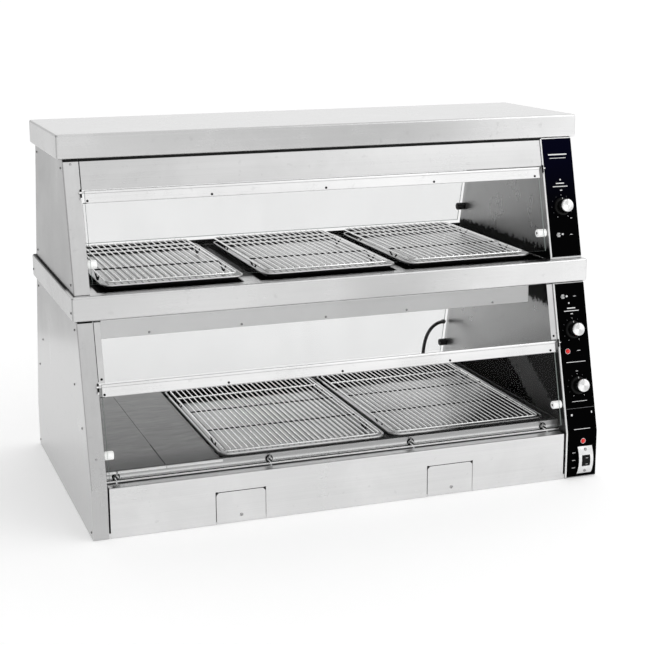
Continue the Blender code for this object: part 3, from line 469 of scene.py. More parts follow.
def glass(name):
    """Tempered pane: a nearly clear sheet with greenish ground edges and faint smears."""
    shader = Shader(name)
    smear = shader.noise((9.0, 9.0, 4.0), detail=3.0, roughness=0.5, distortion=0.2)
    rough = shader.remap(smear, 0.35, 0.7, 0.01, 0.05)
    tint = shader.mix(shader.remap(smear, 0.4, 0.75), CLEAR_PANE, SMEARED_PANE)
    through = shader.node("ShaderNodeBsdfTransparent", {"Color": tint}).outputs[0]
    shine = shader.node("ShaderNodeBsdfGlossy", {"Color": grey(0.9), "Roughness": rough}).outputs[0]
    facing = shader.node("ShaderNodeFresnel", {"IOR": 1.45}).outputs[0]
    facing = shader.remap(facing, 0.05, 0.6, 0.004, 0.30)
    face = shader.node("ShaderNodeMixShader", {0: facing, 1: through, 2: shine}).outputs[0]
    edge = shader.math("LESS_THAN", shader.math("ABSOLUTE", shader.axis("Y", "Normal")), 0.6)
    grain = shader.noise(260.0, detail=2.0)
    ground = shader.mix(grain, (0.42, 0.50, 0.47), (0.62, 0.68, 0.66))
    side = shader.set(base_color=ground, roughness=shader.spread(grain, 0.25, 0.45))
    rim = shader.surface.outputs[0]
    both = shader.node("ShaderNodeMixShader", {0: edge, 1: face, 2: rim}).outputs[0]
    shader.feed(shader.output.inputs["Surface"], both)
    return side


def lens(name):
    """Red indicator lens with a fine prism pattern and a lit core."""
    shader = Shader(name)
    ribs = shader.noise(700.0, detail=1.0)
    colour = shader.mix(shader.remap(ribs, 0.35, 0.65), (0.42, 0.004, 0.004), (0.80, 0.02, 0.015))
    normal = shader.bump(ribs, 0.0002, 0.5)
    return shader.set(base_color=colour, roughness=shader.spread(ribs, 0.08, 0.22), normal=normal,
                      emission_color=colour, emission_strength=0.35)


def print_ink(name, colour):
    """Screen-printed mark, slightly worn."""
    shader = Shader(name)
    wear = shader.noise(900.0, detail=2.0)
    made = shader.mix(shader.remap(wear, 0.35, 0.7), colour, tuple(c * 0.7 for c in colour))
    normal = shader.bump(wear, 0.00002, 0.4)
    return shader.set(base_color=made, roughness=shader.spread(wear, 0.4, 0.6), normal=normal)


def spun_metal(name):
    """Turned knob face: fine rings round the axis, with a painted bright sweep of highlight."""
    shader = Shader(name)
    x, y = shader.axis("X"), shader.axis("Y")
    radius = shader.math("SQRT", shader.math("MULTIPLY_ADD", x, x, shader.times(y, y)))
    rings = shader.math("SINE", shader.times(radius, 14000.0))
    angle = shader.math("ARCTAN2", y, x)
    # Painted highlight: a bright sweep round the face.
    painted_sweep = shader.math("COSINE", shader.math("MULTIPLY_ADD", angle, 2.0, -1.2))
    tone = shader.remap(painted_sweep, -1.0, 1.0, 0.0, 1.0, True)
    colour = shader.mix(tone, grey(0.66), grey(0.96))
    rough = shader.remap(rings, -1.0, 1.0, 0.20, 0.30)
    tangent = shader.node("ShaderNodeTangent", direction_type="RADIAL", axis="Z").outputs[0]
    normal = shader.bump(rings, 0.00003, 0.4)
    return shader.set(base_color=colour, metallic=1.0, roughness=rough, anisotropic=0.6,
                      tangent=tangent, normal=normal)


def braid(name):
    """Dark woven sleeve of the conduit."""
    shader = Shader(name)
    weave = shader.node("ShaderNodeTexWave", {"Vector": shader.stretched((1, 1, 1), (0.6, 0.6, 0.4)),
                                              "Scale": 160.0, "Distortion": 1.0}).outputs["Fac"]
    other = shader.node("ShaderNodeTexWave", {"Vector": shader.stretched((1, 1, 1), (-0.7, 0.4, -0.6)),
                                              "Scale": 160.0, "Distortion": 1.0}).outputs["Fac"]
    cells = shader.times(weave, other)
    colour = shader.mix(cells, grey(0.012), grey(0.30))
    normal = shader.bump(cells, 0.0006, 0.8)
    return shader.set(base_color=colour, metallic=0.6, roughness=shader.remap(cells, 0, 1, 0.35, 0.6),
                      normal=normal)


STEEL_FRONT = brushed_steel("steel_front", 0.74, 0.30)
STEEL_APRON = brushed_steel("steel_apron", 0.71, 0.32)
# Painted light and shade: the deck frame's level faces go dark and its front is lighter low down.
STEEL_DECK_FRAME = brushed_steel(
    "steel_deck_frame", 0.56, 0.30, top=("Y", (-0.34, 0.10), (0.34, 0.02)),
    along=("Z", (0.117, 1.72), (0.126, 1.60), (0.130, 0.84), (0.140, 0.84)))
# Painted light and shade: the side skins are darker than their front faces, with tone changing by height.
STEEL_SIDE_UPPER = brushed_steel(
    "steel_side_upper", 0.325, 0.32, "Z", along=("Z", (0.52, 0.83), (0.70, 0.90), (0.81, 0.97)),
    front=("Z", (0.52, 1.79), (0.81, 1.91)))
STEEL_SIDE_LOWER = brushed_steel(
    "steel_side_lower", 0.60, 0.32, "Z", lean=0.20,
    along=("Z", (-0.10, 0.97), (0.10, 0.96), (0.23, 0.97), (0.34, 0.93), (0.40, 0.60), (0.57, 0.51)),
    front=("Z", (0.0, 0.86), (0.2, 0.84), (0.47, 0.93)))
# Painted reflection and shade: the caps' fronts get darker and lighter bands along their length, their ends
# are darker, and the middle cap's top goes black towards the rear.
STEEL_CAP_TOP = brushed_steel(
    "steel_cap_top", 0.68, 0.26, edge=0.0030, side=0.65,
    front=("X", (-0.63, 0.90), (-0.06, 0.75), (0.12, 0.74), (0.38, 0.95), (0.63, 1.22)))
STEEL_CAP_MIDDLE = brushed_steel(
    "steel_cap_middle", 0.68, 0.26, edge=0.0030, side=0.57,
    front=("X", (-0.63, 0.86), (-0.05, 0.88), (0.12, 0.76), (0.24, 0.86), (0.38, 1.04), (0.63, 1.10)),
    top=("Y", (-0.28, 1.0), (-0.235, 0.95), (-0.20, 0.60), (-0.17, 0.03), (0.0, 0.02), (0.26, 0.02)))
# Painted light: the header, upper rails and heater housing get lighter or darker from end to end.
STEEL_HEADER = brushed_steel("steel_header", 0.64, 0.30, along=("X", (-0.6, 0.94), (0.6, 0.88)))
STEEL_RAIL_UPPER = brushed_steel(
    "steel_rail_upper", 0.76, 0.28, along=("X", (-0.6, 1.08), (0.0, 0.96), (0.6, 0.92)))
STEEL_RAIL_LOWER = brushed_steel("steel_rail_lower", 0.80, 0.28)
# Painted shade: the liner goes black towards the pans, with a painted shadow line and reflection streak.
STEEL_LINER = wall_steel("steel_liner", 0.46, 0.32, (
    (0.12, 0.90), (0.30, 0.92), (0.404, 1.05), (0.418, 0.01), (0.53, 0.01), (0.545, 0.01),
    (0.550, 0.42), (0.575, 0.62), (0.62, 0.70), (0.81, 0.80)), 1.85)
STEEL_HOUSING = brushed_steel(
    "steel_housing", 0.60, 0.34, along=("X", (-0.6, 1.18), (0.0, 1.06), (0.6, 1.0)))
STEEL_PAN = brushed_steel("steel_water_pan", 0.40, 0.36, "X", smudge=0.08)
DECK = worn_plate("deck_plate", 0.27, 0.38)
PAINTED_SHADE_PLATE = painted_shade_plate("painted_shade_plate")
# The rack wires glow faintly, painted light.
RACK = chrome("rack_chrome", 0.97, 0.20, stain=0.10, painted_glow=0.22)
# Painted reflection: cross wires coloured near black for the dark they reflect.
RACK_DARK_REFLECTION = chrome("rack_cross_wire_dark_reflection", 0.01, 0.40, stain=0.8)
# Painted shade, shadow, reflection and highlight on the pans, as set in pan_metal.
PAN_UPPER = pan_metal("pan_aluminium_upper", 0.86, 0.34, 0.187, 0.01567, 0.5342, under=0.5318)
PAN_LOWER = pan_metal("pan_aluminium_lower", 0.74, 0.34, 0.178, 0.01349, 0.1456, corner=0.50)
BRIGHT = chrome("bright_plating", 0.82, 0.09)
SCREW_METAL = chrome("screw_metal", 0.46, 0.24, stain=0.3)
SIDE_SCREW = chrome("side_screw_metal", 0.14, 0.30, stain=0.3)
BLACK_METAL = plastic("black_screw", (0.004, 0.004, 0.004), 0.40, specular=0.12)
SPUN = spun_metal("knob_face")
BLACK_PLASTIC = plastic("black_plastic", (0.003, 0.003, 0.003), 0.30, specular=0.14)
# The white bumpers glow, painted light.
WHITE_PLASTIC = plastic("white_plastic", (0.92, 0.92, 0.91), 0.48, texture=500.0, depth=0.00006,
                        painted_glow=0.55)
# Painted shade: a dark copy of the white bumper plastic.
SHADED_BUMPER_PLASTIC = plastic("shaded_bumper_plastic", (0.035, 0.035, 0.035), 0.5, specular=0.2)
OVERLAY = black_overlay("control_overlay")
INK = print_ink("white_ink", (0.92, 0.92, 0.92))
FAINT_INK = print_ink("grey_ink", (0.26, 0.26, 0.27))
LENS = lens("red_lens")
HEATER = heater_sheath("heater_sheath")
# Painted shade: a darker copy of the steel for thin shadow strips.
SHADED_STEEL = brushed_steel("steel_shaded", 0.40, 0.34)
GLASS = glass("pane_glass")
BRAID = braid("braided_sleeve")

# The first word found in a node's name decides its material.
MATERIALS_BY_WORD = (
    ("glass", GLASS), ("upper_front_door_rail", STEEL_RAIL_UPPER),
    ("upper_rear_door_rail", STEEL_RAIL_UPPER), ("door_rail", STEEL_RAIL_LOWER),
    ("header", STEEL_HEADER), ("liner", STEEL_LINER), ("upper_left_skin", STEEL_SIDE_UPPER),
    ("upper_right_skin", STEEL_SIDE_UPPER), ("skin", STEEL_SIDE_LOWER),
    ("deck_frame", STEEL_DECK_FRAME), ("top_cap", STEEL_CAP_TOP), ("cap", STEEL_CAP_MIDDLE),
    ("apron", STEEL_APRON), ("flap", STEEL_APRON), ("radiant_housing", STEEL_HOUSING),
    ("water_pan", STEEL_PAN), ("upper_deck", PAINTED_SHADE_PLATE), ("_plate", DECK), ("rack", RACK),
    ("upper_pan_", PAN_UPPER), ("pan_", PAN_LOWER), ("bumper", WHITE_PLASTIC), ("knob", SPUN),
    ("toggle", BRIGHT), ("lamp", LENS), ("heater", HEATER), ("control_panel", OVERLAY),
    ("escutcheon", BRIGHT), ("rocker", BLACK_PLASTIC), ("", STEEL_FRONT),
)


def dress_frame():
    """Give every carried-over CAD piece its material."""
    for name, obj in NODES.items():
        material = next(m for word, m in MATERIALS_BY_WORD if word in name)
        obj.data.materials.clear()
        obj.data.materials.append(material)


# ---------------------------------------------------------------- building pieces
def add_piece(name, bm, material, body, place=None, smooth=40.0, replaces=()):
    """Turn a bmesh into a piece that rides on a body."""
    bmesh.ops.recalc_face_normals(bm, faces=bm.faces)
    mesh = bpy.data.meshes.new(name)
    bm.to_mesh(mesh)
    bm.free()
    return add_object(name, mesh, material, body, place, smooth, replaces)


def add_pair(name, bm, material, body=CABINET):
    """A piece at the front and its mirror image at the rear; END in the names is the end."""
    for end, sign in (("front", 1), ("rear", -1)):
        copy = bm.copy()
        bmesh.ops.scale(copy, vec=(1, sign, 1), verts=copy.verts[:])
        add_piece(name.replace("END", end), copy, material, body.replace("END", end))
    bm.free()


def add_object(name, mesh, material, body, place=None, smooth=40.0, replaces=()):
    """Link a mesh as a piece whose edges sharper than the smooth angle stay crisp."""
    mesh.shade_smooth()
    mesh.set_sharp_from_angle(angle=radians(smooth))
    mesh.materials.append(material)
    obj = bpy.data.objects.new(name, mesh)
    bpy.context.scene.collection.objects.link(obj)
    if place is not None:
        obj.matrix_world = place
    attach(obj, body)
    if replaces:
        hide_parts(*replaces)
    return obj


def bridge(bm, near, far):
    """Add a band of faces between two rings of as many points."""
    for k in range(len(near)):
        j = (k + 1) % len(near)
        bm.faces.new((near[k], near[j], far[j], far[k]))


def round_trip(rings, closed):
    """Each ring with the one after it, and the last with the first if the form is closed."""
    return zip(rings, rings[1:] + rings[:1] if closed else rings[1:])


def lathe(profile, steps=32, closed=False):
    """A turned form; profile is (radius, height) down the outside, and closed joins its ends."""
    bm = bmesh.new()
    rings = []
    for radius, height in profile:
        if radius < 1e-7:
            rings.append([bm.verts.new((0, 0, height))])
        else:
            turn = [tau * k / steps for k in range(steps)]
            rings.append([bm.verts.new((radius * cos(a), radius * sin(a), height)) for a in turn])
    for upper, lower in round_trip(rings, closed):
        for k in range(steps):
            j = (k + 1) % steps
            corners = [upper[k % len(upper)], upper[j % len(upper)], lower[j % len(lower)],
                       lower[k % len(lower)]]
            bm.faces.new(dict.fromkeys(corners))
    return bm


def wire(bm, points, radius, sides=8, closed=False):
    """Add a round wire along points, with its section kept square to the path."""
    points = [Vector(p) for p in points]
    count = len(points)
    rings = []
    side = None
    for i, point in enumerate(points):
        before = points[i - 1] if closed or i else point
        after = points[(i + 1) % count] if closed or i + 1 < count else point
        along = ((point - before).normalized() + (after - point).normalized()).normalized()
        if side is None:
            side = along.cross(Vector((0, 0, 1)) if abs(along.z) < 0.9 else Vector((1, 0, 0)))
        side = (side - along * side.dot(along)).normalized()
        other = along.cross(side)
        turn = [tau * k / sides for k in range(sides)]
        rings.append([bm.verts.new(point + (side * cos(a) + other * sin(a)) * radius) for a in turn])
    for ring, following in round_trip(rings, closed):
        bridge(bm, ring, following)
    if not closed:
        bm.faces.new(rings[0])
        bm.faces.new(rings[-1][::-1])
    return bm


def block(bm, low, high):
    """Add a box between two corners."""
    low, high = Vector(low), Vector(high)
    made = bmesh.ops.create_cube(bm, size=1.0)["verts"]
    bmesh.ops.scale(bm, vec=high - low, verts=made)
    bmesh.ops.translate(bm, vec=(low + high) / 2, verts=made)
    return made


def rounded_block(low, high, radius, segments=3):
    """A box with rounded edges."""
    bm = bmesh.new()
    block(bm, low, high)
    bmesh.ops.bevel(bm, geom=bm.edges[:], offset=radius, segments=segments, affect="EDGES", profile=0.5)
    return bm


def rounded_rectangle(width, depth, radius, steps=6):
    """Points round a rectangle with round corners, anticlockwise."""
    points = []
    for quarter in range(4):
        cx = (width / 2 - radius) * (1 if quarter in (0, 3) else -1)
        cy = (depth / 2 - radius) * (1 if quarter in (0, 1) else -1)
        for step in range(steps + 1):
            angle = (quarter + step / steps) * pi / 2
            points.append((cx + radius * cos(angle), cy + radius * sin(angle)))
    return points


# ---------------------------------------------------------------- pans and racks
PAN_SHEET = 0.0010
PAN_WALL_LEAN = 0.0065
PAN_CORNER = 0.028
PAN_LEAST_CORNER = 0.010


def build_pan(name, roll, drop, metal):
    """Sheet pan with leaning walls, a rounded floor corner and a rolled rim."""
    low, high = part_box(name)
    width, depth = high.x - low.x, high.y - low.y
    middle = (low + high) / 2
    top = high.z
    floor = low.z + PAN_SHEET
    height = top - floor
    profile = []
    fillet = min(0.006, height * 0.4)
    wall_foot = 2 * roll + PAN_WALL_LEAN
    for step in range(5):
        angle = pi / 2 * step / 4
        profile.append((wall_foot + fillet * (1 - sin(angle)), floor + fillet * (1 - cos(angle))))
    for step in range(9):
        angle = pi * (1 - step / 8)
        profile.append((roll + 0.0002 + roll * cos(angle + pi), top - roll + roll * sin(angle)))
    profile.append((0.0002, max(top - drop, low.z + 0.0025)))
    bm = bmesh.new()
    loops = []
    for inset, z in profile:
        radius = max(PAN_CORNER - inset, PAN_LEAST_CORNER)
        outline = rounded_rectangle(width - 2 * inset, depth - 2 * inset, radius, steps=8)
        loops.append([bm.verts.new((middle.x + x, middle.y + y, z)) for x, y in outline])
    bm.faces.new(loops[0])
    for inner, outer in zip(loops, loops[1:]):
        bridge(bm, inner, outer)
    bmesh.ops.recalc_face_normals(bm, faces=bm.faces)
    floor_face = min(bm.faces, key=lambda f: f.calc_center_median().z)
    if floor_face.normal.z < 0:
        bmesh.ops.reverse_faces(bm, faces=bm.faces)
    mesh = bpy.data.meshes.new(name + "_sheet")
    bm.to_mesh(mesh)
    bm.free()
    pan = add_object(name + "_sheet", mesh, metal, name, replaces=(name,))
    shell = pan.modifiers.new("sheet", "SOLIDIFY")
    shell.thickness = PAN_SHEET * 0.9
    shell.offset = -1.0


WIRE_RADIUS = 0.0013
FRAME_RADIUS = 0.0021
CROSS_RADIUS = 0.0018


def foot_notch(y, tip_z, level, forward):
    """Points of a V bent in a side wire, in the direction of travel."""
    reach, corner, rise = 0.030, 0.004, level - tip_z
    shape = [(-reach, 0.0), (-corner, -rise + corner * 0.6), (0.0, -rise), (corner, -rise + corner * 0.6),
             (reach * 0.75, 0.0)]
    return [(y + forward * dy, level + dz) for dy, dz in shape]


def build_rack(name, slots, foot_y, dark_y, bright_y):
    """Round-wire rack: long wires over a frame, cross wires, and V feet on the side wires."""
    low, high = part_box(name)
    middle = (low + high) / 2
    level = high.z - 2 * WIRE_RADIUS - FRAME_RADIUS
    half_w = (high.x - low.x) / 2 - FRAME_RADIUS
    half_d = (high.y - low.y) / 2 - FRAME_RADIUS

    def add_cross_wires(bm, places):
        for y in places:
            ends = [(middle.x + side * half_w, middle.y + y, level) for side in (-1, 1)]
            wire(bm, ends, CROSS_RADIUS)

    corners = rounded_rectangle(2 * half_w, 2 * half_d, 0.012, steps=4)
    path = [(middle.x + x, middle.y + y, level) for x, y in corners]
    bm = wire(bmesh.new(), path, FRAME_RADIUS, closed=True)
    z = high.z - WIRE_RADIUS
    for i in range(1, slots):
        x = middle.x - half_w + i * 2 * half_w / slots
        wire(bm, [(x, middle.y - half_d, z), (x, middle.y + half_d, z)], WIRE_RADIUS, sides=6)
    add_cross_wires(bm, bright_y)
    add_piece(name + "_wires", bm, RACK, name, replaces=(name,))
    # Painted reflection: these cross wires are near black, the others stay bright.
    bm = bmesh.new()
    add_cross_wires(bm, dark_y)
    add_piece(name + "_cross_wires", bm, RACK_DARK_REFLECTION, name)
    # Painted shade: the V feet are black for the shade and dark reflection on them.
    bm = bmesh.new()
    for side in (-1, 1):
        x = middle.x + side * (half_w - FRAME_RADIUS * 0.5)
        for end in (-1, 1):
            points = foot_notch(middle.y + end * foot_y, low.z + FRAME_RADIUS, level, end)
            wire(bm, [(x, y, z) for y, z in points], FRAME_RADIUS)
    add_piece(name + "_feet", bm, BLACK_METAL, name)


def build_pans_and_racks():
    """Three half-size pans above and two larger ones below, each with its rack."""
    for number in (1, 2, 3):
        build_pan("upper_pan_%d" % number, 0.0018, 0.0040, PAN_UPPER)
        build_rack("upper_rack_%d" % number, 19, 0.120, (-0.080,), (0.125, 0.172))
    for number in (1, 2):
        build_pan("lower_pan_%d" % number, 0.0028, 0.0070, PAN_LOWER)
        build_rack("lower_rack_%d" % number, 28, 0.163, (-0.100, 0.058), (0.186,))


# ---------------------------------------------------------------- screws and small hardware
def screw_mesh(radius, height):
    """Pan head with a cross recess."""
    profile = [(0, height), (radius * 0.45, height * 0.97), (radius * 0.80, height * 0.72),
               (radius * 0.97, height * 0.35), (radius, 0), (0, 0)]
    bm = lathe(profile, steps=20)
    head = bpy.data.meshes.new("head")
    bm.to_mesh(head)
    bm.free()
    bm = bmesh.new()
    half, arm = radius * 0.13, radius * 0.55
    block(bm, (-arm, -half, height * 0.45), (arm, half, height * 2))
    slot = bpy.data.meshes.new("slot")
    bm.to_mesh(slot)
    bm.free()
    body = bpy.data.objects.new("screw_cut", head)
    tools = []
    for turn in (0, pi / 2):
        tool = bpy.data.objects.new("screw_slot", slot)
        tool.rotation_euler.z = turn
        tools.append(tool)
        cut = body.modifiers.new("slot", "BOOLEAN")
        cut.operation = "DIFFERENCE"
        cut.object = tool
    for obj in (body, *tools):
        bpy.context.scene.collection.objects.link(obj)
    bpy.context.view_layer.update()
    graph = bpy.context.evaluated_depsgraph_get()
    mesh = bpy.data.meshes.new_from_object(body.evaluated_get(graph))
    for obj in (body, *tools):
        bpy.data.objects.remove(obj)
    return mesh


SMALL_SCREW = screw_mesh(0.0028, 0.0017)
LARGE_SCREW = screw_mesh(0.0042, 0.0024)


def add_screw(name, place, body=CABINET, mesh=SMALL_SCREW, material=SCREW_METAL):
    """A screw head whose seat is at the origin of its place."""
    own = mesh.copy()
    own.materials.clear()
    return add_object(name, own, material, body, place, smooth=35.0)


UPPER_SIDE_SCREWS = ((0.165, 0.7900), (0.229, 0.5420))
LOWER_SIDE_SCREWS = ((0.251, 0.4470), (0.219, 0.3160), (0.292, 0.2350), (0.351, 0.0150))
CAP_SIDE_SCREW = (0.2635, 0.4875)
POST_SCREW_HEIGHTS = {"upper": 0.800, "lower": 0.179}
FLANGE_SCREWS = (("left", -0.5755), ("right", 0.5265))
FLANGE_SCREW_Z = 0.345
HOUSING_SCREW_SHARES = (0.12, 0.32, 0.51, 0.70, 0.91)
RAIL_SCREW_SHARES = (-0.001, 0.255, 0.503, 0.750, 0.993)


def add_screw_pair(name, place, body=CABINET, **settings):
    """A screw at the front and one at the rear; END in the names is the end."""
    add_screw(name.replace("END", "front"), place, body.replace("END", "front"), **settings)
    add_screw(name.replace("END", "rear"), behind(place), body.replace("END", "rear"), **settings)


def build_body_screws():
    """Screws of the side panels, caps, posts, pane flanges and the heater housing."""
    left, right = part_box("lower_left_skin")[0].x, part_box("lower_right_skin")[1].x
    cap_low, cap_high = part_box("middle_cap")
    rows = (("upper", left, right, UPPER_SIDE_SCREWS), ("lower", left, right, LOWER_SIDE_SCREWS),
            ("middle", cap_low.x, cap_high.x, (CAP_SIDE_SCREW,)))
    for tier, x_left, x_right, places in rows:
        for side, x, sign in (("left", x_left, -1), ("right", x_right, 1)):
            for number, (y, z) in enumerate(places, 1):
                for end, way in (("front", -1), ("rear", 1)):
                    name = "%s_%s_side_screw_%s_%d" % (tier, side, end, number)
                    add_screw(name, sideways(x, way * y, z, sign), material=SIDE_SCREW)
    post_x = (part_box("upper_left_skin")[0].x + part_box("upper_left_skin")[1].x) / 2
    for tier, skin in (("upper", UPPER_SKIN), ("lower", LOWER_SKIN)):
        add_screw_pair(tier + "_END_post_screw", skin.place(post_x, POST_SCREW_HEIGHTS[tier]))
    for side, x in FLANGE_SCREWS:
        place = Slope("lower_%s_liner" % side).place(x, FLANGE_SCREW_Z)
        add_screw_pair("END_%s_flange_screw" % side, place, material=BLACK_METAL)
    low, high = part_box("lower_radiant_housing")
    for number, share in enumerate(HOUSING_SCREW_SHARES, 1):
        place = upright(low.x + share * (high.x - low.x), low.y, low.z + 0.006)
        add_screw_pair("housing_END_screw_%d" % number, place)


def slope_block(slope, x_low, x_high, z_low, z_high, out_low, out_high):
    """A thin block that lies on a leaning front, between two heights."""
    bm = bmesh.new()
    made = block(bm, (0, 0, out_low), (x_high - x_low, (z_high - z_low) / slope.up.z, out_high))
    bmesh.ops.transform(bm, matrix=slope.place(x_low, z_low), verts=made)
    return bm


def stud(radius, head, low, high):
    """A short pin along Z, chamfered at the top to the radius of its head."""
    return lathe([(0, high), (head, high), (radius, high - 0.0006), (radius, low), (0, low)], 16)


def build_hinge(name, slope, x, inwards, z):
    """Black arm, bright pin and small keeper beside the end of a door rail, front and rear."""
    start, end = sorted((x - inwards * 0.0004, x - inwards * 0.0038))
    arm = slope_block(slope, start, end, z - 0.0125, z + 0.0070, 0.0004, 0.0052)
    bmesh.ops.bevel(arm, geom=arm.edges[:], offset=0.0010, segments=2, affect="EDGES")
    pin = stud(0.0027, 0.0022, -0.0020, 0.0034)
    pin.transform(Matrix.Rotation(pi / 2, 4, "Y"))
    pin.transform(Matrix.Translation(slope.at(x - inwards * 0.0042, z - 0.0010, 0.0038)))
    keeper = stud(0.0023, 0.0019, -0.0020, 0.0026)
    keeper.transform(Matrix.Translation(slope.at(x - inwards * 0.0030, z - 0.0135, 0.0036)))
    for part, bm, material in (("arm", arm, BLACK_METAL), ("pin", pin, BRIGHT), ("keeper", keeper, BRIGHT)):
        add_pair("%s_hinge_%s" % (name, part), bm, material)


def build_door_details(tier):
    """Screws, lines and end clip of the tier's door rails, their hinges, and the panes' guards."""
    rail = tier + "_front_door_rail"
    slope = Slope(rail)
    low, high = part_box(rail)
    body = tier + "_END_door"
    for number, share in enumerate(RAIL_SCREW_SHARES, 1):
        x = low.x + 0.012 + share * (high.x - low.x - 0.024)
        add_screw_pair("%s_screw_%d" % (body, number), slope.place(x, low.z + 0.0055), body,
                       material=BLACK_METAL)
    hinge_z = joint_of(tier + "_front_door")["pos_m"][2]
    build_hinge(body + "_left", slope, low.x, 1, hinge_z)
    build_hinge(body + "_right", slope, high.x, -1, hinge_z)
    # The shade line and edge are painted shadow lines in shaded steel.
    lines = (("groove", low.x + 0.0005, high.x - 0.0005, high.z - 0.0062, high.z - 0.0055, SHADED_STEEL),
             ("edge", low.x + 0.0003, high.x - 0.0003, low.z + 0.0002, low.z + 0.0010, SHADED_STEEL),
             ("clip", low.x + 0.0002, low.x + 0.0105, low.z + 0.0001, low.z + 0.0016, BLACK_METAL))
    for part, x_low, x_high, z_low, z_high, material in lines:
        line = slope_block(slope, x_low, x_high, z_low, z_high, 0.0001, 0.0005)
        add_pair("%s_rail_%s" % (body, part), line, material, body)
    pane = tier + "_front_door_glass"
    pane_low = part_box(pane)[0]
    guard = slope_block(Slope(pane), low.x + 0.0003, pane_low.x - 0.0002, pane_low.z + 0.001,
                        low.z - 0.0005, -0.0040, -0.0005)
    add_pair(body + "_edge_guard", guard, GLASS, body)


def build_bumper_details():
    """The rear twins of the front stops, and the bore in the end of each stop."""
    for tier in ("upper", "lower"):
        for side, sign in (("left", 1), ("right", -1)):
            node = "%s_%s_bumper" % (tier, side)
            mesh = NODES[node].data.copy()
            mesh.transform(Matrix.Diagonal((1, -1, 1, 1)))
            mesh.flip_normals()
            mesh.materials.clear()
            # The rear twins are the same stops, coloured dark, painted shade.
            add_object("%s_%s_rear_bumper" % (tier, side), mesh, SHADED_BUMPER_PLASTIC, CABINET)
            low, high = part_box(node)
            middle = (low + high) / 2
            x = high.x if side == "left" else low.x
            for end, way in (("front", 1), ("rear", -1)):
                # The black bore disc is painted shade inside the hole.
                bore = lathe([(0, 0.0003), (0.0030, 0.0003), (0.0034, 0), (0.0034, -0.002), (0, -0.002)], 24)
                place = sideways(x, way * middle.y, middle.z, sign)
                add_piece("%s_%s_%s_bumper_bore" % (tier, side, end), bore, BLACK_METAL, CABINET, place)


WING_NUT_X = (-0.557, -0.2045, 0.1445, 0.4925)
WING_NUT_Z = 0.1272
THREAD_LENGTH = 0.0148
THREAD_TURNS = 14


def wing_nut():
    """Hub with two wings, standing along Z."""
    hub = lathe([(0, 0.0085), (0.0034, 0.0085), (0.0042, 0.0060), (0.0055, 0.0010), (0.0055, 0), (0, 0)], 20)
    for sign in (-1, 1):
        outline = [(sign * x, z) for x, z in ((0.0030, 0.0040), (0.0090, 0.0105), (0.0118, 0.0125),
                                              (0.0128, 0.0100), (0.0105, 0.0050), (0.0040, 0.0012))]
        back, front = ([hub.verts.new((x, y, z)) for x, z in outline] for y in (-0.0011, 0.0011))
        hub.faces.new(back)
        hub.faces.new(front)
        bridge(hub, back, front)
    bmesh.ops.scale(hub, vec=(1.25, 1.25, 1.15), verts=hub.verts[:])
    return hub


def threaded_stud():
    """A stud with its thread as a stack of rings."""
    profile = [(0, THREAD_LENGTH + 0.0002)]
    for turn in range(THREAD_TURNS):
        z = THREAD_LENGTH * (1 - turn / THREAD_TURNS)
        profile += [(0.0021, z), (0.0025, z - 0.0004)]
    profile.append((0, -0.0005))
    return lathe(profile, 16)


def build_wing_nuts():
    """Washer, wing nut and stud at each fixing of the deck, front and rear."""
    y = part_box("deck_frame")[0].y + 0.009
    for number, x in enumerate(WING_NUT_X, 1):
        place = upright(x, y, WING_NUT_Z) @ Matrix.Rotation(radians(75 + 11 * number), 4, "Z")
        for end, at in (("front", place), ("rear", behind(place))):
            washer = lathe([(0, 0.0014), (0.0082, 0.0014), (0.0090, 0.0008), (0.0090, 0), (0, 0)], 24)
            add_piece("deck_%s_washer_%d" % (end, number), washer, BLACK_METAL, CABINET, at)
            add_piece("deck_%s_wing_nut_%d" % (end, number), wing_nut(), BRIGHT, CABINET, at)
            add_piece("deck_%s_stud_%d" % (end, number), threaded_stud(), BLACK_METAL, CABINET, at)


DECK_SEAM_Y = (-0.323, -0.175)


def build_deck_edges():
    """Bright lip, bead and lower strip along both long edges of the deck, and its dark seam."""
    low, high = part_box("deck_frame")
    left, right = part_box("deck_left_plate"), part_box("deck_right_plate")
    y = low.y
    for number, (x_low, x_high) in enumerate(((low.x, left[1].x), (right[0].x, right[1].x + 0.004)), 1):
        lip = rounded_block((x_low + 0.0003, y - 0.0012, left[0].z - 0.0042),
                            (x_high - 0.0002, y - 0.0001, left[1].z + 0.0004), 0.0004, 2)
        add_pair("deck_END_lip_%d" % number, lip, STEEL_RAIL_LOWER)
    bead_y, bead_z = y - 0.0009, low.z - 0.0006
    ends = [(low.x + 0.003, bead_y, bead_z), (high.x - 0.003, bead_y, bead_z)]
    add_pair("deck_END_bead", wire(bmesh.new(), ends, 0.0014, sides=10), STEEL_RAIL_LOWER)
    # The lower strip is painted shade under the bead, in shaded steel.
    strip = rounded_block((low.x + 0.003, y - 0.0006, low.z - 0.0038),
                          (high.x - 0.003, y + 0.0010, low.z - 0.0006), 0.0002, 1)
    add_pair("deck_END_strip", strip, SHADED_STEEL)
    top = left[1].z
    seam = rounded_block((left[1].x - 0.0008, DECK_SEAM_Y[0], top + 0.0001),
                         (right[0].x + 0.0008, DECK_SEAM_Y[1], top + 0.0004), 0.0001, 1)
    add_piece("deck_seam_line", seam, BLACK_METAL, CABINET)


REAR_SHADE_Y = (0.2475, 0.2520)
REAR_SHADE_HEIGHT = 0.0125


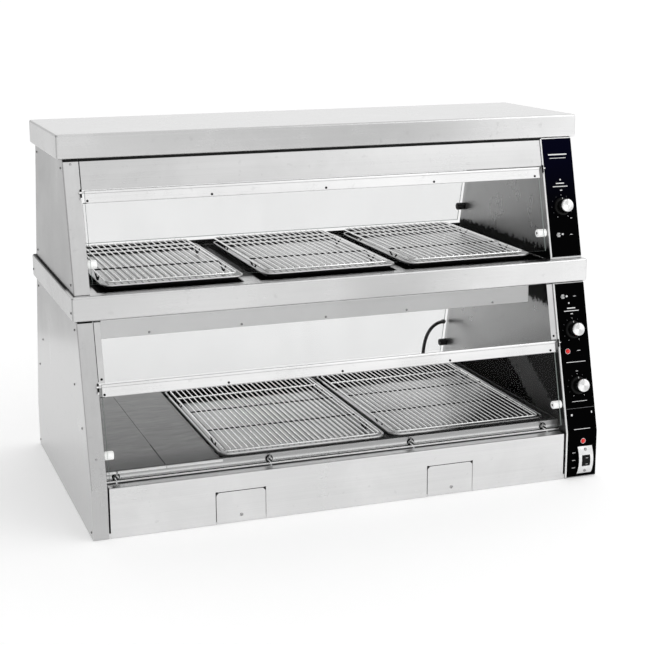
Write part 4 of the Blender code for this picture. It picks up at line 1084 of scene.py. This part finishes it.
def build_rear_shade_strip():
    """Black strip along the rear of the upper deck: painted shade where the rear goes dark."""
    low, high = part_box("upper_deck")
    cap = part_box("middle_cap")[1].z
    rear_shade = rounded_block((low.x + 0.012, REAR_SHADE_Y[0], cap + 0.0003),
                         (high.x - 0.012, REAR_SHADE_Y[1], cap + REAR_SHADE_HEIGHT), 0.0006, 2)
    add_piece("upper_rear_shade_strip", rear_shade, BLACK_METAL, CABINET)


CONDUIT_RADIUS = 0.0048
CONDUIT_STEPS = 24
CONDUIT_WALL_X = 0.5245
CONDUIT_WALL_Z = 0.2405
CONDUIT_FOOT_X = 0.4555
CONDUIT_FOOT_Y = 0.316


def build_conduit():
    """Sleeved cable from the right wall down to the deck, with a nut at each end."""
    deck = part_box("deck_frame")[1].z
    flange = Slope("lower_right_liner")
    wall = Vector((CONDUIT_WALL_X, -flange.at(0, CONDUIT_WALL_Z).y - 0.0020, CONDUIT_WALL_Z))
    foot = Vector((CONDUIT_FOOT_X, CONDUIT_FOOT_Y, deck + 0.002))
    bend = (wall, Vector((0.508, 0.313, 0.2440)), Vector((0.4565, 0.317, 0.2440)), foot)
    points = []
    for step in range(CONDUIT_STEPS + 1):
        t = step / CONDUIT_STEPS
        share = ((1 - t) ** 3, 3 * t * (1 - t) ** 2, 3 * t * t * (1 - t), t ** 3)
        points.append(sum((p * k for p, k in zip(bend, share)), Vector()))
    add_piece("conduit_sleeve", wire(bmesh.new(), points, CONDUIT_RADIUS, sides=16), BRAID, CABINET)
    nut = [(0, 0.008), (0.0060, 0.008), (0.0070, 0.006), (0.0070, 0), (0, 0)]
    into_wall = Matrix.Translation(wall - Vector((0, 0.001, 0))) @ Matrix.Rotation(-pi / 2, 4, "X")
    add_piece("conduit_wall_nut", lathe(nut, 6), SCREW_METAL, CABINET, into_wall, smooth=20.0)
    add_piece("conduit_deck_nut", lathe(nut, 6), SCREW_METAL, CABINET, Matrix.Translation(foot), smooth=20.0)


LATCH_Z = 0.0175
LATCH_SHIFT = {"left": 0.0005, "right": 0.004}
LATCH_TURN = radians(35)


def build_flap_details():
    """Quarter-turn latch on each access flap, and the shadow gap round its top and side."""
    for side in ("left", "right"):
        flap = side + "_access_flap"
        low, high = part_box(flap)
        place = upright((low.x + high.x) / 2 + LATCH_SHIFT[side], low.y, LATCH_Z)
        profile = [(0, 0.0016), (0.0030, 0.0016), (0.0040, 0.0009), (0.0042, 0), (0, 0)]
        add_piece(side + "_flap_latch", lathe(profile, 24), SCREW_METAL, flap, place)
        slot = rounded_block((-0.0028, -0.0005, 0.0012), (0.0028, 0.0005, 0.0019), 0.0002)
        turned = place @ Matrix.Rotation(LATCH_TURN, 4, "Z")
        add_piece(side + "_flap_latch_slot", slot, BLACK_METAL, flap, turned)
        y = low.y
        for name, corner, far in (
            ("top_gap", (low.x - 0.0010, high.z + 0.0003), (high.x + 0.0010, high.z + 0.0016)),
            ("left_gap", (low.x - 0.0016, low.z + 0.004), (low.x - 0.0003, high.z + 0.0016)),
            ("left_notch", (low.x - 0.0012, high.z - 0.0018), (low.x + 0.0030, high.z + 0.0004)),
            ("right_notch", (high.x - 0.0030, high.z - 0.0018), (high.x + 0.0012, high.z + 0.0004)),
        ):
            bm = rounded_block((corner[0], y - 0.0003, corner[1]), (far[0], y + 0.0010, far[1]), 0.0001, 1)
            if "notch" in name:
                bmesh.ops.translate(bm, vec=(0, 0, 0.0019), verts=bm.verts[:])
            add_piece("%s_flap_%s" % (side, name), bm, BLACK_METAL, CABINET)


# ---------------------------------------------------------------- controls
def on_panel(panel, point):
    """The panel's own directions at a point."""
    made = panel.place(0, panel.centre.z)
    made.translation = Vector(point)
    return made


GRIP_RIBS = 30
RIB_DEPTH = 0.0004


def ribbed_grip(radius, low, high):
    """A closed cylinder with grip ribs and a chamfered top."""
    bm = bmesh.new()
    steps = GRIP_RIBS * 4
    rings = []
    for size, z in ((1.0, low), (1.0, high - 0.0016), (0.93, high)):
        ring = []
        for k in range(steps):
            angle = tau * k / steps
            r = (radius + RIB_DEPTH * cos(GRIP_RIBS * angle)) * size
            ring.append(bm.verts.new((r * cos(angle), r * sin(angle), z)))
        rings.append(ring)
    for ring, following in zip(rings, rings[1:]):
        bridge(bm, ring, following)
    bm.faces.new(rings[0][::-1])
    bm.faces.new(rings[-1])
    return bm


KNOB_RADIUS = 0.0220
KNOB_TOP = 0.0300


def build_knob(body, panel):
    """Black knob with a ribbed grip, a turned metal face, a pointer and a notch."""
    place = on_panel(panel, joint_of(body)["pos_m"])
    skirt = [(0, 0.0058), (0.0178, 0.0058), (0.0200, 0.0050), (0.0212, 0.0036), (0.0217, 0.0020),
             (KNOB_RADIUS, 0.0004), (KNOB_RADIUS, 0.0), (0, 0)]
    add_piece(body + "_skirt", lathe(skirt, 48), BLACK_PLASTIC, body, place,
              replaces=(body,))
    add_piece(body + "_grip", ribbed_grip(0.0166, 0.0050, 0.0275), BLACK_PLASTIC, body, place,
              smooth=50.0)
    face = [(0, KNOB_TOP - 0.0004), (0.0098, KNOB_TOP - 0.0003), (0.0128, KNOB_TOP),
            (0.0145, KNOB_TOP - 0.0006), (0.0158, KNOB_TOP - 0.0024), (0.0160, 0.0255), (0, 0.0255)]
    add_piece(body + "_face", lathe(face, 64), SPUN, body, place)
    mark = rounded_block((-0.0007, 0.0150, 0.0040), (0.0007, 0.0208, 0.0062), 0.0002, 1)
    add_piece(body + "_pointer", mark, INK, body, place)
    notch = rounded_block((-0.0006, 0.0105, KNOB_TOP - 0.0012), (0.0006, 0.0158, KNOB_TOP - 0.0001),
                          0.0002, 1)
    add_piece(body + "_notch", notch, BLACK_PLASTIC, body, place)


DIAL_TICKS = 11
DIAL_SWEEP = 300.0


def build_dial(name, panel, x, z):
    """Generic tick marks round a knob."""
    for tick in range(DIAL_TICKS):
        angle = radians(DIAL_SWEEP * (tick / (DIAL_TICKS - 1) - 0.5))
        place = panel.place(x, z) @ Matrix.Rotation(angle, 4, "Z")
        long = tick in (0, DIAL_TICKS // 2, DIAL_TICKS - 1)
        outer = 0.0292 if long else 0.0284
        mark = rounded_block((-0.0005, 0.0272, -0.0001), (0.0005, outer, 0.0002), 0.00005, 1)
        add_piece("%s_tick_%02d" % (name, tick), mark, INK if long else FAINT_INK, CABINET, place)


def build_toggle(body, panel):
    """Bat-shaped lever in a hexagonal nut."""
    joint = joint_of(body)
    place = on_panel(panel, joint["pos_m"])
    lever = [(0, 0.0189), (0.0014, 0.0187), (0.0025, 0.0176), (0.0030, 0.0158), (0.0028, 0.0120),
             (0.0018, 0.0050), (0.0014, 0.0), (0.0010, -0.0020), (0, -0.0025)]
    add_piece(body + "_lever", lathe(lever, 24), BRIGHT, body, place, replaces=(body,))
    seat = place @ Matrix.Translation((0, 0, -0.0035))
    nut = [(0, 0.0020), (0.0056, 0.0020), (0.0062, 0.0015), (0.0062, 0.0001), (0, 0.0001)]
    add_piece(body + "_nut", lathe(nut, 6), SCREW_METAL, CABINET, seat, smooth=20.0)


def build_lamp(node, place):
    """Domed lens in a bright bezel ring."""
    dome = [(0, 0.0060), (0.0018, 0.0058), (0.0036, 0.0048), (0.0049, 0.0031), (0.0054, 0.0012),
            (0.0054, 0.0), (0, 0)]
    add_piece(node + "_lens", lathe(dome, 32), LENS, CABINET, place, replaces=(node,))
    ring = []
    for step in range(9):
        angle = pi * step / 8
        ring.append((0.0062 - 0.0007 * cos(angle), 0.0010 + 0.0011 * sin(angle)))
    ring += [(0.0069, 0.0), (0.0055, 0.0)]
    add_piece(node + "_bezel", lathe(ring, closed=True), BRIGHT, CABINET, place)


def build_rocker():
    """Rocker cap with a hollowed front and a mark near each end."""
    low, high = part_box("selector_rocker")
    middle = (low + high) / 2
    half_w, half_h = (high.x - low.x) / 2, (high.z - low.z) / 2
    outline = []
    for step in range(13):
        t = -1 + step / 6
        bulge = 0.0026 * (1 - t * t) - 0.0012 * (1 - abs(t)) ** 2
        outline.append((low.y + 0.0026 - bulge + 0.0002, middle.z + t * half_h))
    outline += [(high.y, middle.z + half_h - 0.0025), (high.y, middle.z - half_h + 0.0025)]
    bm = bmesh.new()
    ends = []
    for x in (middle.x - half_w, middle.x + half_w):
        ends.append([bm.verts.new((x, y, z)) for y, z in outline])
    bm.faces.new(ends[0])
    bm.faces.new(ends[1])
    bridge(bm, *ends)
    bmesh.ops.recalc_face_normals(bm, faces=bm.faces)
    sharp = [e for e in bm.edges if len(e.link_faces) == 2 and e.calc_face_angle() > radians(40)]
    bmesh.ops.bevel(bm, geom=sharp, offset=0.0006, segments=2, affect="EDGES")
    add_piece("selector_rocker_cap", bm, BLACK_PLASTIC, "selector_rocker",
              replaces=("selector_rocker",))
    for number, share in enumerate((-0.62, 0.62), 1):
        z = middle.z + share * half_h
        dot = rounded_block((middle.x - 0.0030, low.y + 0.0010, z - 0.0004),
                            (middle.x + 0.0030, low.y + 0.0022, z + 0.0004), 0.0001, 1)
        add_piece("selector_rocker_mark_%d" % number, dot, INK, "selector_rocker")


def build_escutcheon_screws():
    """Screws set square to the curved plate round the rocker."""
    low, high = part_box("rocker_escutcheon")
    half, rise = (high.z - low.z) / 2 - 0.0007, high.y - low.y
    radius = (half ** 2 + rise ** 2) / (2 * rise)
    middle = (low + high) / 2
    for number, share in enumerate((-0.80, 0.80), 1):
        dz = share * half
        bulge = sqrt(radius ** 2 - dz ** 2) - (radius - rise)
        tilt = Matrix.Rotation(pi / 2 - dz / radius, 4, "X")
        place = Matrix.Translation((middle.x, high.y - bulge - 0.0006, middle.z + dz)) @ tilt
        add_screw("escutcheon_screw_%d" % number, place, mesh=LARGE_SCREW)


TRIM_WIDTH = 0.0042
TRIM_DEPTH = 0.0016


def build_trims():
    """Bright strips beside the control panels."""
    for tier, slope, node in (("upper", UPPER_SKIN, "upper_control_panel"),
                              ("lower", LOWER_SKIN, "lower_control_panel")):
        low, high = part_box(node)
        x = low.x - TRIM_WIDTH - 0.0002
        foot = low.z if tier == "upper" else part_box("front_apron")[1].z
        bm = bmesh.new()
        corner = slope.place(x, foot)
        length = (high.z - foot) / slope.up.z
        made = block(bm, (0, 0, 0.0002), (TRIM_WIDTH, length, TRIM_DEPTH))
        bmesh.ops.transform(bm, matrix=corner, verts=made)
        if tier == "lower":
            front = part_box("lower_right_skin")[0].y
            block(bm, (x, front - TRIM_DEPTH, low.z), (x + TRIM_WIDTH, front - 0.0002, foot + 0.0004))
        bmesh.ops.bevel(bm, geom=bm.edges[:], offset=0.0004, segments=2, affect="EDGES")
        add_piece(tier + "_panel_trim", bm, BRIGHT, CABINET)


def print_bar(name, place, width, height, ink=INK):
    """A printed mark a fraction of a millimetre thick."""
    bar = rounded_block((-width / 2, -height / 2, -0.0001), (width / 2, height / 2, 0.00015), 0.00004, 1)
    add_piece(name, bar, ink, CABINET, place)


def build_print():
    """Generic bars and dots where the control panels carry their markings."""
    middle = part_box("upper_heat_knob")
    x = (middle[0].x + middle[1].x) / 2
    upper = (("head", 0.0, 0.7700, 0.050, 0.0030), ("head_line", 0.0, 0.7615, 0.044, 0.0014),
             ("symbol", 0.0015, 0.7105, 0.0035, 0.0035), ("label", 0.0, 0.7020, 0.022, 0.0026),
             ("sub_label", 0.0, 0.6945, 0.040, 0.0019), ("off_mark", 0.0015, 0.6855, 0.0060, 0.0022),
             ("low_mark", 0.022, 0.6190, 0.0050, 0.0013), ("toggle_mark", 0.018, 0.5805, 0.0070, 0.0012))
    lower = (("symbol", -0.005, 0.4196, 0.0035, 0.0035), ("label", 0.0, 0.4075, 0.022, 0.0026),
             ("sub_label", 0.0, 0.4010, 0.040, 0.0019), ("off_mark", 0.0, 0.3940, 0.0060, 0.0022),
             ("toggle_mark", 0.012, 0.4350, 0.0070, 0.0012), ("lamp_mark", 0.010, 0.3068, 0.0090, 0.0012),
             ("heading", 0.0, 0.2806, 0.052, 0.0014), ("dial_mark", 0.0, 0.2590, 0.0060, 0.0012),
             ("water_label", 0.0, 0.1880, 0.040, 0.0012), ("alarm_square", -0.0245, 0.1570, 0.0045, 0.0045),
             ("alarm_mark", 0.0300, 0.1600, 0.0030, 0.0050), ("alarm_heading", 0.0, 0.1226, 0.044, 0.0014))
    for tier, panel, marks in (("upper", UPPER_PANEL, upper), ("lower", LOWER_PANEL, lower)):
        for name, dx, z, width, height in marks:
            print_bar("%s_panel_%s" % (tier, name), panel.place(x + dx, z), width, height)
    print_bar("lower_panel_seam", LOWER_PANEL.place(x, 0.172), 0.076, 0.0006, FAINT_INK)
    low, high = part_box("rocker_escutcheon")
    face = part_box("lower_control_panel")[0].y
    for number, share in enumerate((0.22, 0.50, 0.78), 1):
        z = low.z + share * (high.z - low.z)
        print_bar("rocker_position_%d" % number, upright(low.x - 0.0085, face, z), 0.0090, 0.0012)


def build_controls():
    """Knobs, dials, toggles, lamps, rocker, trims and print at the right end."""
    for body, panel in (("upper_heat_knob", UPPER_PANEL), ("lower_heat_knob", LOWER_PANEL),
                        ("water_heat_knob", LOWER_PANEL)):
        build_knob(body, panel)
        x, _, z = joint_of(body)["pos_m"]
        build_dial(body + "_dial", panel, x, z)
    build_toggle("upper_toggle", UPPER_PANEL)
    build_toggle("lower_toggle", LOWER_PANEL)
    low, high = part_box("power_lamp")
    middle = (low + high) / 2
    foot = LOWER_PANEL.at(middle.x, middle.z)
    foot += LOWER_PANEL.up * (middle - foot).dot(LOWER_PANEL.up)
    build_lamp("power_lamp", on_panel(LOWER_PANEL, foot))
    low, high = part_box("low_water_lamp")
    build_lamp("low_water_lamp", upright((low.x + high.x) / 2, high.y, (low.z + high.z) / 2))
    build_rocker()
    build_escutcheon_screws()
    build_trims()
    build_print()


SHADOW_STRIP_RISE = (0.0001, 0.0007)


def add_shadow_strip(name, slope, x_low, x_high, z_low, z_high):
    """A thin dark strip on a leaning front and its twin at the rear: a painted shadow line."""
    shadow_strip = slope_block(slope, x_low, x_high, z_low, z_high, *SHADOW_STRIP_RISE)
    add_pair(name, shadow_strip, BLACK_METAL)


def build_shadow_strips():
    """Black strips of painted shadow in the shadow joints: under the caps, beside the panes and under the
    skins.
    """
    header = Slope("upper_header")
    header_low, header_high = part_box("upper_header")
    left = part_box("upper_left_skin")[0].x
    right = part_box("upper_control_panel")[1].x
    add_shadow_strip("top_cap_END_seal", header, left + 0.001, right - 0.079, header_high.z - 0.0046, header_high.z)
    add_shadow_strip("upper_header_seal_END", header, header_low.x - 0.0006, header_low.x + 0.0008, header_low.z,
             header_high.z - 0.004)
    skin_low, skin_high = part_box("lower_left_skin")
    flange = Slope("lower_left_liner")
    cap_low, cap_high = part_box("middle_cap")
    joint = (cap_low.z - 0.0026, cap_low.z - 0.0003)
    add_shadow_strip("lower_left_post_seal_END", LOWER_SKIN, skin_low.x + 0.002, skin_high.x - 0.001, *joint)
    add_shadow_strip("lower_left_flange_seal_END", flange, -0.5836, -0.5824, 0.340, cap_low.z - 0.002)
    add_shadow_strip("lower_left_flange_top_seal_END", flange, -0.5824, -0.5670, *joint)
    for side, sign in (("left", -1), ("right", 1)):
        low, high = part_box("upper_%s_skin" % side)
        x = low.x if sign < 0 else high.x
        near, far = sorted((x, x + sign * 0.0008))
        shadow_strip = rounded_block((near, low.y + 0.003, cap_high.z + 0.0002),
                             (far, high.y - 0.003, cap_high.z + 0.0030), 0.0002, 1)
        add_piece("upper_%s_foot_seal" % side, shadow_strip, BLACK_METAL, CABINET)


# ---------------------------------------------------------------- stage, light and camera
FLOOR_SIZE = 400.0


def build_floor():
    """Pale mottled floor that runs out of sight."""
    shader = Shader("pale_floor")
    mottle = shader.noise(0.7, detail=3.0)
    tone = shader.mix(mottle, grey(0.90), grey(0.93))
    shader.set(base_color=tone, roughness=0.9, specular_ior_level=0.1, emission_color=tone,
               emission_strength=0.30)
    bm = bmesh.new()
    bmesh.ops.create_grid(bm, x_segments=2, y_segments=2, size=FLOOR_SIZE / 2)
    mesh = bpy.data.meshes.new("floor")
    bm.to_mesh(mesh)
    bm.free()
    mesh.materials.append(shader.material)
    floor = bpy.data.objects.new("floor", mesh)
    floor.location.z = -0.0005
    bpy.context.scene.collection.objects.link(floor)


def build_sky():
    """A bright, even studio: white all round, dimmer towards the left."""
    world = bpy.data.worlds.new("studio")
    world.use_nodes = True
    bpy.context.scene.world = world
    nodes, links = world.node_tree.nodes, world.node_tree.links
    background = nodes["Background"]
    coords = nodes.new("ShaderNodeTexCoord")
    split = nodes.new("ShaderNodeSeparateXYZ")
    links.new(coords.outputs["Generated"], split.inputs[0])
    side = nodes.new("ShaderNodeMapRange")
    side.interpolation_type = "SMOOTHSTEP"
    links.new(split.outputs["X"], side.inputs["Value"])
    for key, value in {"From Min": -0.9, "From Max": 0.35, "To Min": 0.45, "To Max": 1.0}.items():
        side.inputs[key].default_value = value
    links.new(side.outputs[0], background.inputs["Strength"])
    background.inputs["Color"].default_value = (1.0, 1.0, 1.0, 1.0)


def add_softbox(name, location, target, size, power):
    """A rectangular lamp aimed at a point."""
    light = bpy.data.lights.new(name, "AREA")
    light.shape = "RECTANGLE"
    light.size, light.size_y = size
    light.energy = power
    obj = bpy.data.objects.new(name, light)
    obj.location = location
    aim = Vector(target) - Vector(location)
    obj.rotation_euler = aim.to_track_quat("-Z", "Y").to_euler()
    bpy.context.scene.collection.objects.link(obj)


CAMERA_AZIMUTH = radians(-19.59)
CAMERA_ELEVATION = radians(13.36)
CAMERA_ROLL = radians(-0.316)
CAMERA_PLACE = (-1.1345, -3.3065, 1.1853)
SENSOR = 36.0
LENS_LENGTH = 80.5


def build_camera():
    """The camera fitted to the photograph."""
    az, el, roll = CAMERA_AZIMUTH, CAMERA_ELEVATION, CAMERA_ROLL
    forward = Vector((-sin(az) * cos(el), cos(az) * cos(el), -sin(el)))
    level = Vector((cos(az), sin(az), 0))
    up = level.cross(forward)
    right = level * cos(roll) + up * sin(roll)
    top = up * cos(roll) - level * sin(roll)
    camera = bpy.data.cameras.new("camera")
    camera.sensor_width = SENSOR
    camera.lens = LENS_LENGTH
    obj = bpy.data.objects.new("camera", camera)
    obj.matrix_world = Matrix((right, top, -forward)).transposed().to_4x4()
    obj.location = CAMERA_PLACE
    bpy.context.scene.collection.objects.link(obj)
    bpy.context.scene.camera = obj


dress_frame()
build_pans_and_racks()
build_body_screws()
build_door_details("upper")
build_door_details("lower")
build_bumper_details()
build_wing_nuts()
build_deck_edges()
build_rear_shade_strip()
build_conduit()
build_flap_details()
build_controls()
build_shadow_strips()
build_floor()
build_sky()
add_softbox("key", (2.2, -2.6, 2.8), (0, 0, 0.45), (2.4, 1.6), 14)
build_camera()
bpy.context.scene.view_settings.view_transform = "Standard"
